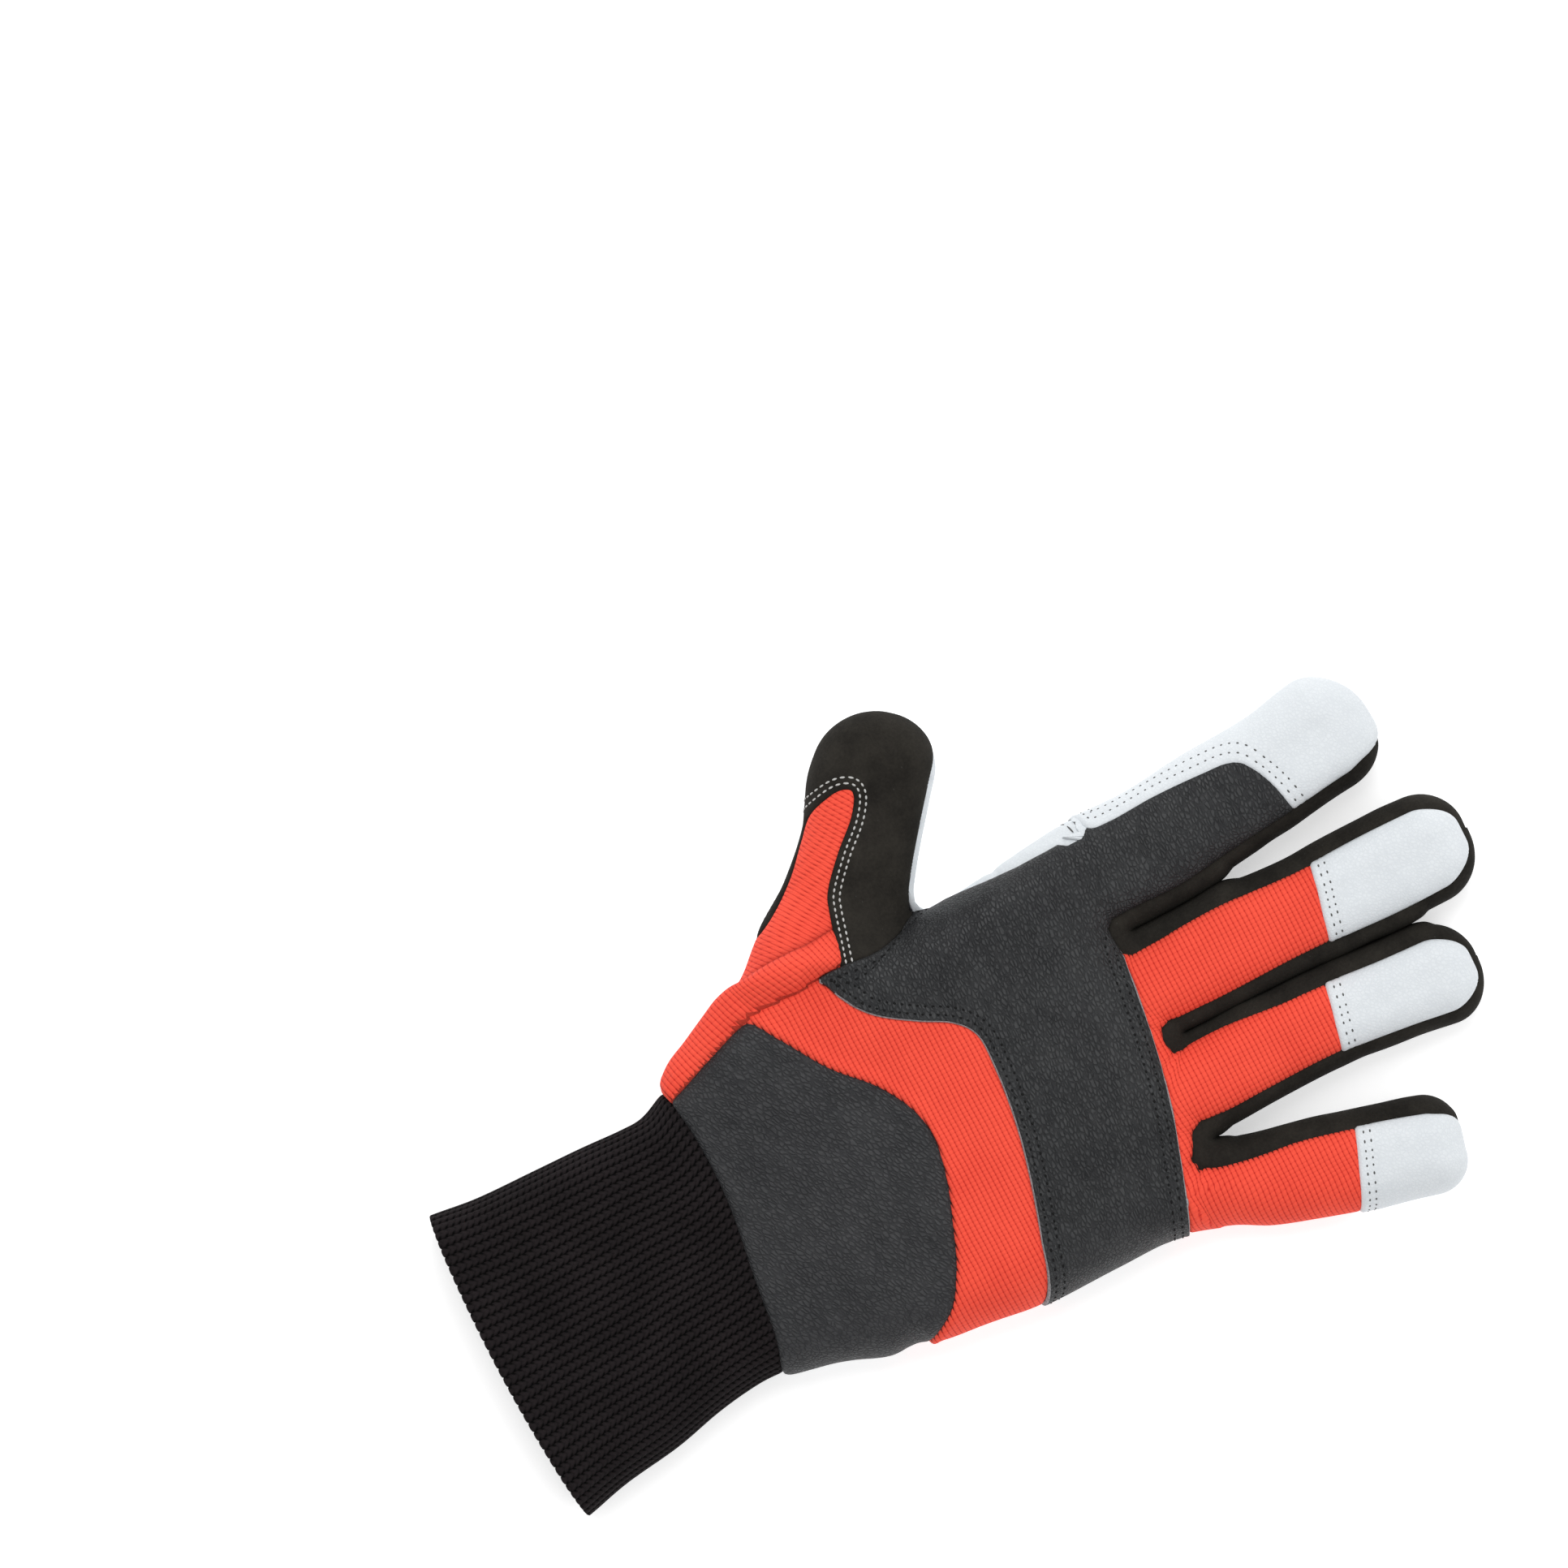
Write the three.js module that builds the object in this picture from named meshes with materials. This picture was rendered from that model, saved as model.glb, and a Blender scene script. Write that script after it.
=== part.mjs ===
// A work glove for chainsaw use, for the right hand, lying palm down with its fingers along +Y.
// It is sewn from flat pieces: leather patches, orange knit and white fingertips on the back, a white
// leather palm with a thumb and a quilted patch, black strips between the fingers and a rib-knit cuff.
// Each piece is cut from a flat sheet by its seam lines and then laid on the form of the glove.
// Lengths are millimetres. X runs across the hand to the little finger, Y from the hem to the fingertips.
import * as THREE from 'three';

// Lengths and widths of the hand
const cuffLength = 66;
const palmLength = 124;
const palmWidth = 104;
const indexLength = 88.5;
const indexWidth = 31;
const middleLength = 97;
const middleWidth = 28.5;
const ringLength = 85.5;
const ringWidth = 26.4;
const littleLength = 67.5;
const littleWidth = 27.2;
const thumbLength = 69.5;
const thumbWidth = 30;

// How thick the glove lies, from its underside to its back
const cuffDepth = 23;
const palmDepth = 27;
const fingerDepth = 19.5;
const thumbDepth = 20.5;

// How far the back and the palm roll over towards the sides, seen from above
const cuffRoll = 12;
const palmRoll = 15;
const fingerRoll = 10.5;
const thumbRoll = 11.5;

// Walls, seams and laps
const leatherWall = 1.3;
const knitWall = 1.2;
const stripWall = 1.1;
const cuffWall = 2.2;
const patchStep = 0.7;
const seamGap = 0.4;
const stripGap = 0.6;
const sideGap = 0.12;
const crotchEase = 1;
const cuffGap = 0.6;
const hemSag = 2.6;
const webFillet = 2.4;
const thumbFillet = 7;
const edgeStretch = 2;
const wrapReach = 6;

// The rib knit of the cuff
const ribPitch = 2.9;
const ribHeight = 0.55;

// The roll of loose knit beside the wrist patch
const foldHeight = 2.2;
const foldWidth = 10;

// How finely the sheets are divided
const backCell = 7.5;
const palmCell = 8.3;
const crotchCell = 0.55;
const crotchSpan = 13;
const crotchTight = 0.25;
const stripCell = 9;
const stripRows = 4;

const { degToRad, lerp, clamp, smoothstep } = THREE.MathUtils;
const wristY = cuffLength;
const palmTopY = cuffLength + palmLength;
const crotch = new THREE.Vector2(-0.53 * palmWidth, wristY + 0.69 * palmLength);

// The sides of the cuff and the palm: along is a share of the length, the sides are shares of palmWidth
// from the line through the middle finger, and the last columns say how far it has become palm.
const handRows = [
  { part: 'cuff', along: 0.0, thumbSide: 0.43, littleSide: 0.428, palm: 0 },
  { part: 'cuff', along: 0.18, thumbSide: 0.413, littleSide: 0.401, palm: 0 },
  { part: 'cuff', along: 0.42, thumbSide: 0.406, littleSide: 0.38, palm: 0 },
  { part: 'cuff', along: 0.62, thumbSide: 0.401, littleSide: 0.35, palm: 0.1 },
  { part: 'cuff', along: 0.78, thumbSide: 0.397, littleSide: 0.338, palm: 0.2 },
  { part: 'cuff', along: 0.97, thumbSide: 0.433, littleSide: 0.36, palm: 0.35 },
  { part: 'palm', along: 0.11, thumbSide: 0.482, littleSide: 0.388, palm: 0.6 },
  { part: 'palm', along: 0.25, thumbSide: 0.55, littleSide: 0.428, palm: 0.9 },
  { part: 'palm', along: 0.4, thumbSide: 0.55, littleSide: 0.471, palm: 1 },
  { part: 'palm', along: 0.52, thumbSide: 0.535, littleSide: 0.492, palm: 1 },
  { part: 'palm', along: 0.7, thumbSide: 0.52, littleSide: 0.494, palm: 0.95 },
  { part: 'palm', along: 0.86, thumbSide: 0.53, littleSide: 0.502, palm: 0.7 },
  { part: 'palm', along: 1.0, thumbSide: 0.545, littleSide: 0.55, palm: 0.3 },
  { part: 'palm', along: 1.15, thumbSide: 0.55, littleSide: 0.55, palm: 0 },
];

// The top of the palm, where the gaps between the fingers end: shares of palmWidth and palmLength
const webRows = [
  { across: -0.6, along: 1.04 },
  { across: -0.22, along: 1.047 },
  { across: 0.05, along: 1.042 },
  { across: 0.33, along: 0.992 },
  { across: 0.6, along: 0.88 },
];

// Each finger's sides are shares of its width on either side of its axis, at shares of its length.
// The seam columns are angles over the edge, from 0 on the back through 90 at the side to 180 below:
// the back sheet ends at backSeam, the palm sheet at palmSeam, and a strip fills what is between.
const fingers = [
  {
    name: 'index', length: indexLength, width: indexWidth, depth: fingerDepth, roll: fingerRoll,
    rootAcross: -0.388, rootAlong: 1.0, lean: -3.3, tipRound: 0.43,
    thumbSeam: [104, 104], littleSeam: [38, 150],
    sides: [
      { at: -0.3, thumbSide: 0.5, littleSide: 0.5 },
      { at: 0.06, thumbSide: 0.54, littleSide: 0.495 },
      { at: 0.26, thumbSide: 0.495, littleSide: 0.535 },
      { at: 0.45, thumbSide: 0.505, littleSide: 0.505 },
      { at: 0.68, thumbSide: 0.495, littleSide: 0.482 },
      { at: 0.86, thumbSide: 0.545, littleSide: 0.475 },
      { at: 1.0, thumbSide: 0.52, littleSide: 0.48 },
    ],
  },
  {
    name: 'middle', length: middleLength, width: middleWidth, depth: fingerDepth, roll: fingerRoll,
    rootAcross: -0.09, rootAlong: 1.0, lean: 1.5, tipRound: 0.42,
    thumbSeam: [40, 150], littleSeam: [42, 150],
    sides: [
      { at: -0.25, thumbSide: 0.49, littleSide: 0.49 },
      { at: 0.1, thumbSide: 0.495, littleSide: 0.478 },
      { at: 0.3, thumbSide: 0.523, littleSide: 0.49 },
      { at: 0.52, thumbSide: 0.485, littleSide: 0.497 },
      { at: 0.75, thumbSide: 0.503, littleSide: 0.525 },
      { at: 1.0, thumbSide: 0.49, littleSide: 0.5 },
    ],
  },
  {
    name: 'ring', length: ringLength, width: ringWidth, depth: fingerDepth, roll: fingerRoll,
    rootAcross: 0.185, rootAlong: 0.985, lean: 3.2, tipRound: 0.44,
    thumbSeam: [40, 150], littleSeam: [42, 150],
    sides: [
      { at: -0.25, thumbSide: 0.47, littleSide: 0.47 },
      { at: 0.1, thumbSide: 0.485, littleSide: 0.5 },
      { at: 0.26, thumbSide: 0.515, littleSide: 0.462 },
      { at: 0.48, thumbSide: 0.54, littleSide: 0.43 },
      { at: 0.72, thumbSide: 0.515, littleSide: 0.475 },
      { at: 0.9, thumbSide: 0.51, littleSide: 0.515 },
      { at: 1.0, thumbSide: 0.5, littleSide: 0.51 },
    ],
  },
  {
    name: 'little', length: littleLength, width: littleWidth, depth: fingerDepth, roll: fingerRoll,
    rootAcross: 0.443, rootAlong: 0.945, lean: 15.7, tipRound: 0.35,
    thumbSeam: [36, 150], littleSeam: [138, 138],
    sides: [
      { at: -0.3, thumbSide: 0.45, littleSide: 0.3 },
      { at: 0.05, thumbSide: 0.455, littleSide: 0.36 },
      { at: 0.2, thumbSide: 0.48, littleSide: 0.432 },
      { at: 0.38, thumbSide: 0.505, littleSide: 0.47 },
      { at: 0.6, thumbSide: 0.51, littleSide: 0.505 },
      { at: 0.78, thumbSide: 0.505, littleSide: 0.505 },
      { at: 1.0, thumbSide: 0.48, littleSide: 0.48 },
    ],
  },
  {
    name: 'thumb', length: thumbLength, width: thumbWidth, depth: thumbDepth, roll: thumbRoll,
    rootAcross: -0.5, rootAlong: 0.452, lean: -49, tipRound: 0.47,
    thumbSeam: [128, 128], littleSeam: [70, 70],
    sides: [
      { at: -0.5, thumbSide: 0.72, littleSide: 0.6 },
      { at: -0.16, thumbSide: 0.75, littleSide: 0.6 },
      { at: 0.08, thumbSide: 0.7, littleSide: 0.61 },
      { at: 0.3, thumbSide: 0.565, littleSide: 0.57 },
      { at: 0.5, thumbSide: 0.51, littleSide: 0.54 },
      { at: 0.7, thumbSide: 0.53, littleSide: 0.55 },
      { at: 0.85, thumbSide: 0.49, littleSide: 0.55 },
      { at: 1.0, thumbSide: 0.455, littleSide: 0.525 },
    ],
  },
];

// Where the two sides of the hand are sewn, as angles over the edge at shares of palmLength. The palm's
// leather comes up beside the index finger's root, and the back's materials go under everywhere else.
const sideSeamRows = [
  { along: 0.0, thumbSide: 140, littleSide: 138 },
  { along: 0.3, thumbSide: 140, littleSide: 138 },
  { along: 0.5, thumbSide: 118, littleSide: 138 },
  { along: 0.62, thumbSide: 90, littleSide: 138 },
  { along: 0.74, thumbSide: 86, littleSide: 138 },
  { along: 0.83, thumbSide: 57, littleSide: 138 },
  { along: 0.9, thumbSide: 43, littleSide: 138 },
  { along: 0.97, thumbSide: 35, littleSide: 138 },
  { along: 1.05, thumbSide: 30, littleSide: 138 },
  { along: 1.085, thumbSide: 104, littleSide: 138 },
  { along: 2.0, thumbSide: 104, littleSide: 138 },
];

// Seam lines, each a curve through points given as shares of palmWidth and of palmLength from the wrist.
// A line's positive side is on the left as it runs.
const lines = {
  wristBack: [
    [-0.7, 0.03], [-0.43, 0.02], [-0.385, 0.03], [-0.16, 0.038], [0.1, 0.007], [0.26, -0.014],
    [0.35, -0.036], [0.6, -0.05],
  ],
  wristPalm: [
    [-0.7, 0.03], [-0.43, 0.02], [-0.3, -0.01], [-0.12, -0.04], [0.1, -0.055], [0.26, -0.05], [0.35, -0.036],
    [0.6, -0.05],
  ],
  wristPatch: [
    [-0.36, -0.1], [-0.385, 0.03], [-0.438, 0.145], [-0.482, 0.245], [-0.476, 0.262], [-0.4, 0.296],
    [-0.288, 0.355], [-0.185, 0.43], [-0.096, 0.47], [-0.016, 0.481], [0.096, 0.464], [0.209, 0.43],
    [0.305, 0.395], [0.368, 0.355], [0.425, 0.289], [0.5, 0.22], [0.66, 0.1],
  ],
  knuckleEdge: [
    [-0.572, 0.758], [-0.556, 0.694], [-0.527, 0.655], [-0.51, 0.61], [-0.5, 0.56], [-0.497, 0.48],
    [-0.492, 0.44], [-0.475, 0.434], [-0.416, 0.45], [-0.353, 0.49], [-0.288, 0.565], [-0.24, 0.631],
    [-0.192, 0.661], [-0.096, 0.663], [0.064, 0.645], [0.224, 0.611], [0.385, 0.565], [0.493, 0.524], [0.7, 0.45],
  ],
  knuckleTop: [
    [-0.228, 1.25], [-0.228, 1.05], [-0.218, 1.022], [-0.19, 1.018], [-0.096, 1.007], [0.064, 0.983],
    [0.224, 0.948], [0.385, 0.907], [0.505, 0.867], [0.7, 0.8],
  ],
  thumbKnit: [
    [-0.96, 0.52], [-0.9, 0.605], [-0.897, 0.657], [-0.877, 0.672], [-0.84, 0.656], [-0.769, 0.605],
    [-0.68, 0.524], [-0.638, 0.514], [-0.577, 0.498], [-0.497, 0.477], [-0.46, 0.466],
    [-0.35, 0.56], [-0.2, 0.75], [0.7, 0.75],
  ],
  thumbSideSeam: [
    [-0.592, 0.56], [-0.59, 0.47], [-0.575, 0.36], [-0.562, 0.27], [-0.59, 0.18], [-0.66, 0.06],
  ],
  palmTop: [
    [-0.75, 1.07], [-0.55, 1.045], [-0.4, 1.01], [-0.24, 0.976], [-0.05, 0.957], [0.157, 0.936],
    [0.327, 0.895], [0.51, 0.85], [0.7, 0.8],
  ],
  thumbSeam: [
    [-0.572, 0.758], [-0.556, 0.694], [-0.525, 0.655], [-0.48, 0.632], [-0.43, 0.61], [-0.385, 0.565],
    [-0.362, 0.51],    [-0.349, 0.43], [-0.342, 0.32], [-0.334, 0.19], [-0.33, 0.1], [-0.334, -0.12],
  ],
};

// Where black meets white on the back of the index finger: shares of its width and length from its root
const indexEdge = [
  [-0.9, 0.1], [-0.5, 0.1], [-0.35, 0.115], [-0.315, 0.17], [-0.297, 0.33], [-0.262, 0.48], [-0.225, 0.57],
  [-0.17, 0.605], [0.0, 0.635], [0.33, 0.66], [0.9, 0.68],
];

// Where each white fingertip begins on the back: a share of the finger's length, and its slant
const tipRows = {
  middle: { at: 0.555, slant: -0.24 },
  ring: { at: 0.52, slant: -0.2 },
  little: { at: 0.58, slant: -0.13 },
};

// A smooth curve through a table's column, level beyond its ends.
function column(rows, key, name) {
  const at = rows.map((row) => row[key]);
  const value = rows.map((row) => row[name]);
  const last = rows.length - 1;
  const slope = value.map((_, i) => {
    const before = Math.max(i - 1, 0);
    const after = Math.min(i + 1, last);
    return (value[after] - value[before]) / (at[after] - at[before]);
  });
  return (t) => {
    if (t <= at[0]) return value[0];
    if (t >= at[last]) return value[last];
    let i = 0;
    while (t > at[i + 1]) i += 1;
    const span = at[i + 1] - at[i];
    const u = (t - at[i]) / span;
    const rise = u * u * (3 - 2 * u);
    const start = u * (1 - u) * (1 - u) * span * slope[i];
    const end = -u * u * (1 - u) * span * slope[i + 1];
    return lerp(value[i], value[i + 1], rise) + start + end;
  };
}

// The hand's own measures along Y
const handStations = handRows.map((row) => ({
  ...row,
  y: row.part === 'cuff' ? row.along * cuffLength : wristY + row.along * palmLength,
}));
const thumbEdge = column(handStations, 'y', 'thumbSide');
const littleEdge = column(handStations, 'y', 'littleSide');
const palmShare = column(handStations, 'y', 'palm');
const webAlong = column(webRows, 'across', 'along');

for (const finger of fingers) {
  const lean = degToRad(finger.lean);
  finger.root = new THREE.Vector2(finger.rootAcross * palmWidth, wristY + finger.rootAlong * palmLength);
  finger.axis = new THREE.Vector2(Math.sin(lean), Math.cos(lean));
  finger.side = new THREE.Vector2(Math.cos(lean), -Math.sin(lean));
  finger.thumbSide = column(finger.sides, 'at', 'thumbSide');
  finger.littleSide = column(finger.sides, 'at', 'littleSide');
}
const byName = Object.fromEntries(fingers.map((finger) => [finger.name, finger]));

// Where a point lies on a finger: how far along it, across from its middle line, and its half width there.
function onFinger(finger, p) {
  const along = (p.x - finger.root.x) * finger.axis.x + (p.y - finger.root.y) * finger.axis.y;
  const across = (p.x - finger.root.x) * finger.side.x + (p.y - finger.root.y) * finger.side.y;
  const left = finger.thumbSide(along / finger.length) * finger.width;
  const right = finger.littleSide(along / finger.length) * finger.width;
  return { along, across: across - (right - left) / 2, half: (left + right) / 2 };
}

// How deep a point lies inside a finger's outline, seen from above.
function fingerDepthAt(finger, p) {
  const { along, across, half } = onFinger(finger, p);
  const round = finger.tipRound * finger.width;
  const beside = Math.abs(across) - (half - round);
  const beyond = Math.max(along - (finger.length - round), -0.45 * finger.length - along);
  const outside = Math.hypot(Math.max(beside, 0), Math.max(beyond, 0));
  return round - outside - Math.min(Math.max(beside, beyond), 0);
}

// How deep a point lies inside the outline of the cuff and the palm.
function handDepthAt(p) {
  const step = 1;
  const left = p.x + thumbEdge(p.y) * palmWidth;
  const right = littleEdge(p.y) * palmWidth - p.x;
  const leftSlope = ((thumbEdge(p.y + step) - thumbEdge(p.y - step)) * palmWidth) / (2 * step);
  const rightSlope = ((littleEdge(p.y + step) - littleEdge(p.y - step)) * palmWidth) / (2 * step);
  const top = wristY + webAlong(p.x / palmWidth) * palmLength - p.y;
  return Math.min(left / Math.hypot(1, leftSlope), right / Math.hypot(1, rightSlope), top);
}

// How deep a point lies inside the whole outline, with the webs between the fingers rounded.
function depth(p) {
  const rounded = (a, b, fillet) => {
    const near = Math.max(fillet - Math.abs(a - b), 0) / fillet;
    return Math.max(a, b) + (near * near * fillet) / 4;
  };
  const thumb = fingerDepthAt(byName.thumb, p);
  const others = fingers.filter(({ name }) => name !== 'thumb').map((finger) => fingerDepthAt(finger, p));
  return rounded(rounded(handDepthAt(p), Math.max(...others), webFillet), thumb, thumbFillet);
}

// The way into the glove from its outline, a unit vector.
function inward(p) {
  const step = 0.2;
  const x = depth(new THREE.Vector2(p.x + step, p.y)) - depth(new THREE.Vector2(p.x - step, p.y));
  const y = depth(new THREE.Vector2(p.x, p.y + step)) - depth(new THREE.Vector2(p.x, p.y - step));
  const size = Math.hypot(x, y) || 1;
  return new THREE.Vector2(x / size, y / size);
}

// How much of a point belongs to the palm, the thumb and the fingers, blended where they join.
function shares(p) {
  const palm = palmShare(p.y);
  const thumb = onFinger(byName.thumb, p);
  const outside = smoothstep(-p.x, 0.45 * palmWidth, 0.55 * palmWidth);
  const isThumb = smoothstep(thumb.along, 0, 0.4 * thumbLength) * outside;
  const cuff = smoothstep(-p.y, -wristY - 8, -0.8 * wristY);
  return { palm: palm * (1 - isThumb), thumb: isThumb, cuff };
}

function blend(p, fingerValue, palmValue, thumbValue, cuffValue) {
  const { palm, thumb, cuff } = shares(p);
  const hand = lerp(fingerValue, palmValue, palm);
  return lerp(lerp(hand, thumbValue, thumb), cuffValue, cuff);
}

// How far past the outline a flat sheet lies where it stands upright: less where the thumb leaves the hand.
function stretchAt(p) {
  return edgeStretch * lerp(crotchTight, 1, smoothstep(p.distanceTo(crotch), 5, 20));
}

// The form under a point: its roll over the edge and its heights above and below the widest line. The
// reaches are lengths of a flat sheet: near takes it from its own face to the edge, far from there on.
function form(p) {
  const thick = blend(p, fingerDepth, palmDepth, thumbDepth, cuffDepth);
  const roll = blend(p, fingerRoll, palmRoll, thumbRoll, cuffRoll);
  const widest = 0.43 * thick;
  const back = { roll, tall: thick - widest };
  const palm = { roll: 0.7 * roll, tall: widest - patchStep * underPatch(p) };
  for (const half of [back, palm]) {
    half.near = half.roll + stretchAt(p);
    half.far = wrapReach;
  }
  return { widest, back, palm };
}

// Where the quilted patch is, softened, because the palm leather rides up on it.
function underPatch(p) {
  const alongIn = smoothstep(p.y, wristY - 8, wristY + 8);
  const alongOut = 1 - smoothstep(p.y, palmTopY - 14, palmTopY + 8);
  const across = smoothstep(p.x, -0.42 * palmWidth, -0.28 * palmWidth);
  return alongIn * alongOut * across;
}

// A seam line's points in millimetres, and the signed distance to it: positive on its left.
function seamLine(points) {
  const knots = points.map((p) => new THREE.Vector3(p.x, p.y, 0));
  const curve = new THREE.CatmullRomCurve3(knots, false, 'centripetal');
  const dots = curve.getPoints(points.length * 5);
  return (p) => {
    let best = Infinity;
    let sign = 1;
    for (let i = 0; i + 1 < dots.length; i += 1) {
      const ax = dots[i].x;
      const ay = dots[i].y;
      const bx = dots[i + 1].x - ax;
      const by = dots[i + 1].y - ay;
      let t = ((p.x - ax) * bx + (p.y - ay) * by) / (bx * bx + by * by);
      const low = i === 0 ? -Infinity : 0;
      const high = i + 2 === dots.length ? Infinity : 1;
      t = clamp(t, low, high);
      const away = Math.hypot(p.x - ax - t * bx, p.y - ay - t * by);
      if (away < best) {
        best = away;
        sign = bx * (p.y - ay) - by * (p.x - ax) >= 0 ? 1 : -1;
      }
    }
    return sign * best;
  };
}

const palmPoint = ([across, along]) => new THREE.Vector2(across * palmWidth, wristY + along * palmLength);
const fingerPoint = (finger) => ([across, along]) => finger.root.clone()
  .addScaledVector(finger.side, across * finger.width)
  .addScaledVector(finger.axis, along * finger.length);
const seam = Object.fromEntries(
  Object.entries(lines).map(([name, points]) => [name, seamLine(points.map(palmPoint))]),
);
seam.indexEdge = seamLine(indexEdge.map(fingerPoint(byName.index)));
for (const [name, row] of Object.entries(tipRows)) {
  const finger = byName[name];
  seam[`${name}Tip`] = (p) => {
    const { along, across } = onFinger(finger, p);
    return (along - row.at * finger.length - row.slant * across) / Math.hypot(1, row.slant);
  };
}

// A side seam's angle at a height along the palm, straight between the rows.
function sideSeam(name, along) {
  const next = sideSeamRows.findIndex((row) => row.along > along);
  if (next <= 0) return sideSeamRows[0][name];
  const [low, high] = [sideSeamRows[next - 1], sideSeamRows[next]];
  return lerp(low[name], high[name], (along - low.along) / (high.along - low.along));
}

// The angles at which the back sheet and the palm sheet end over the edge beside a point.
function seamAngles(p) {
  const sharpness = 1.2;
  const parts = [{ deep: handDepthAt(p), angles: handAngles(p) }];
  for (const finger of fingers) {
    const { along, across, half } = onFinger(finger, p);
    const beside = across < 0 ? finger.thumbSeam : finger.littleSeam;
    const low = sideSeam('thumbSide', (p.y - wristY) / palmLength);
    const full = finger.name === 'index' && across < 0 ? [low, low] : [...beside];
    if (finger.name === 'thumb' && across > 0) {
      const share = smoothstep(along / finger.length, 0.5, 0.75);
      full.forEach((angle, i) => { full[i] = lerp(90, angle, share); });
    }
    const straight = along < 0.7 * finger.length;
    const round = straight ? 1 : smoothstep(Math.abs(across) / half, 0.2, 0.85);
    parts.push({ deep: fingerDepthAt(finger, p), angles: full.map((angle) => lerp(90, angle, round)) });
  }
  const deepest = Math.max(...parts.map((part) => part.deep));
  let total = 0;
  const found = [0, 0];
  for (const part of parts) {
    const weight = Math.exp((part.deep - deepest) / sharpness);
    total += weight;
    found[0] += weight * part.angles[0];
    found[1] += weight * part.angles[1];
  }
  return [found[0] / total, found[1] / total];
}

function handAngles(p) {
  const along = (p.y - wristY) / palmLength;
  const left = p.x + thumbEdge(p.y) * palmWidth;
  const right = littleEdge(p.y) * palmWidth - p.x;
  const top = wristY + webAlong(p.x / palmWidth) * palmLength - p.y;
  if (top < Math.min(left, right)) return [38, 150];
  const angle = sideSeam(left < right ? 'thumbSide' : 'littleSide', along);
  return [angle, angle];
}

// How much of a flat sheet it takes to go round the edge to an angle from its own face.
function reachTo(angle, own, other) {
  return angle <= 90 ? (own.near * angle) / 90 : own.near + (other.far * (angle - 90)) / 90;
}

// The point just inside the outline that is nearest to a point of a flat sheet.
function besideOutline(p) {
  return p.clone().addScaledVector(inward(p), 2 - depth(p));
}

// How far a point of the flat sheet lies inside the edge of the back sheet or of the palm sheet.
function backEdge(p) {
  const { back, palm } = form(p);
  return depth(p) - back.roll + reachTo(seamAngles(besideOutline(p))[0], back, palm) - sideGap;
}
function palmEdge(p) {
  const { back, palm } = form(p);
  return depth(p) - palm.roll + reachTo(180 - seamAngles(besideOutline(p))[1], palm, back);
}

// The raised roll of knit that runs from the thumb's root to the cuff, and the creases beside it.
const foldPoints = [[-0.545, 0.5], [-0.545, 0.36], [-0.525, 0.24], [-0.47, 0.12], [-0.425, 0.0]];
const foldLine = seamLine(foldPoints.map(palmPoint));
function fold(p) {
  const away = foldLine(p) / (foldWidth / 2);
  const along = (p.y - wristY) / palmLength;
  const ends = smoothstep(along, -0.02, 0.1) * (1 - smoothstep(along, 0.42, 0.52));
  return foldHeight * ends * (1.25 * Math.exp(-away * away * 1.6) - 0.25);
}

// A point of the back (side 1) or palm (side -1) sheet laid on the form and moved out of it by lift.
function placed(p, side, lift) {
  const { widest, back, palm } = form(p);
  const [own, other] = side > 0 ? [back, palm] : [palm, back];
  const raised = side > 0 ? lift + fold(p) : lift;
  const deep = depth(p);
  const over = own.roll - deep;
  if (over <= 0) return new THREE.Vector3(p.x, p.y, widest + side * (own.tall + raised));
  const into = inward(p);
  const first = over <= own.near;
  const angle = (Math.PI / 2) * (first ? over / own.near : 1 + (over - own.near) / other.far);
  const { roll, tall } = first ? own : other;
  const out = new THREE.Vector2(Math.sin(angle) / roll, Math.cos(angle) / tall);
  out.setLength(raised);
  const move = roll * (1 - Math.sin(angle)) - deep - out.x;
  const z = widest + side * (tall * Math.cos(angle) + out.y);
  return new THREE.Vector3(p.x + into.x * move, p.y + into.y * move, z);
}

// The slope of a field at a point of the flat sheet.
function slopeOf(field, p) {
  const step = 0.1;
  const at = (x, y) => field(new THREE.Vector2(p.x + x, p.y + y));
  const slope = new THREE.Vector2(at(step, 0) - at(-step, 0), at(0, step) - at(0, -step));
  return slope.divideScalar(2 * step);
}

// The places where a sheet is ruled, closer together near one of them.
function ruled(low, high, cell, fine) {
  const marks = [low];
  while (marks[marks.length - 1] < high) {
    const last = marks[marks.length - 1];
    const near = Math.abs(last + cell / 2 - fine) < crotchSpan;
    marks.push(last + (near ? crotchCell * cell : cell));
  }
  return marks;
}

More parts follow.
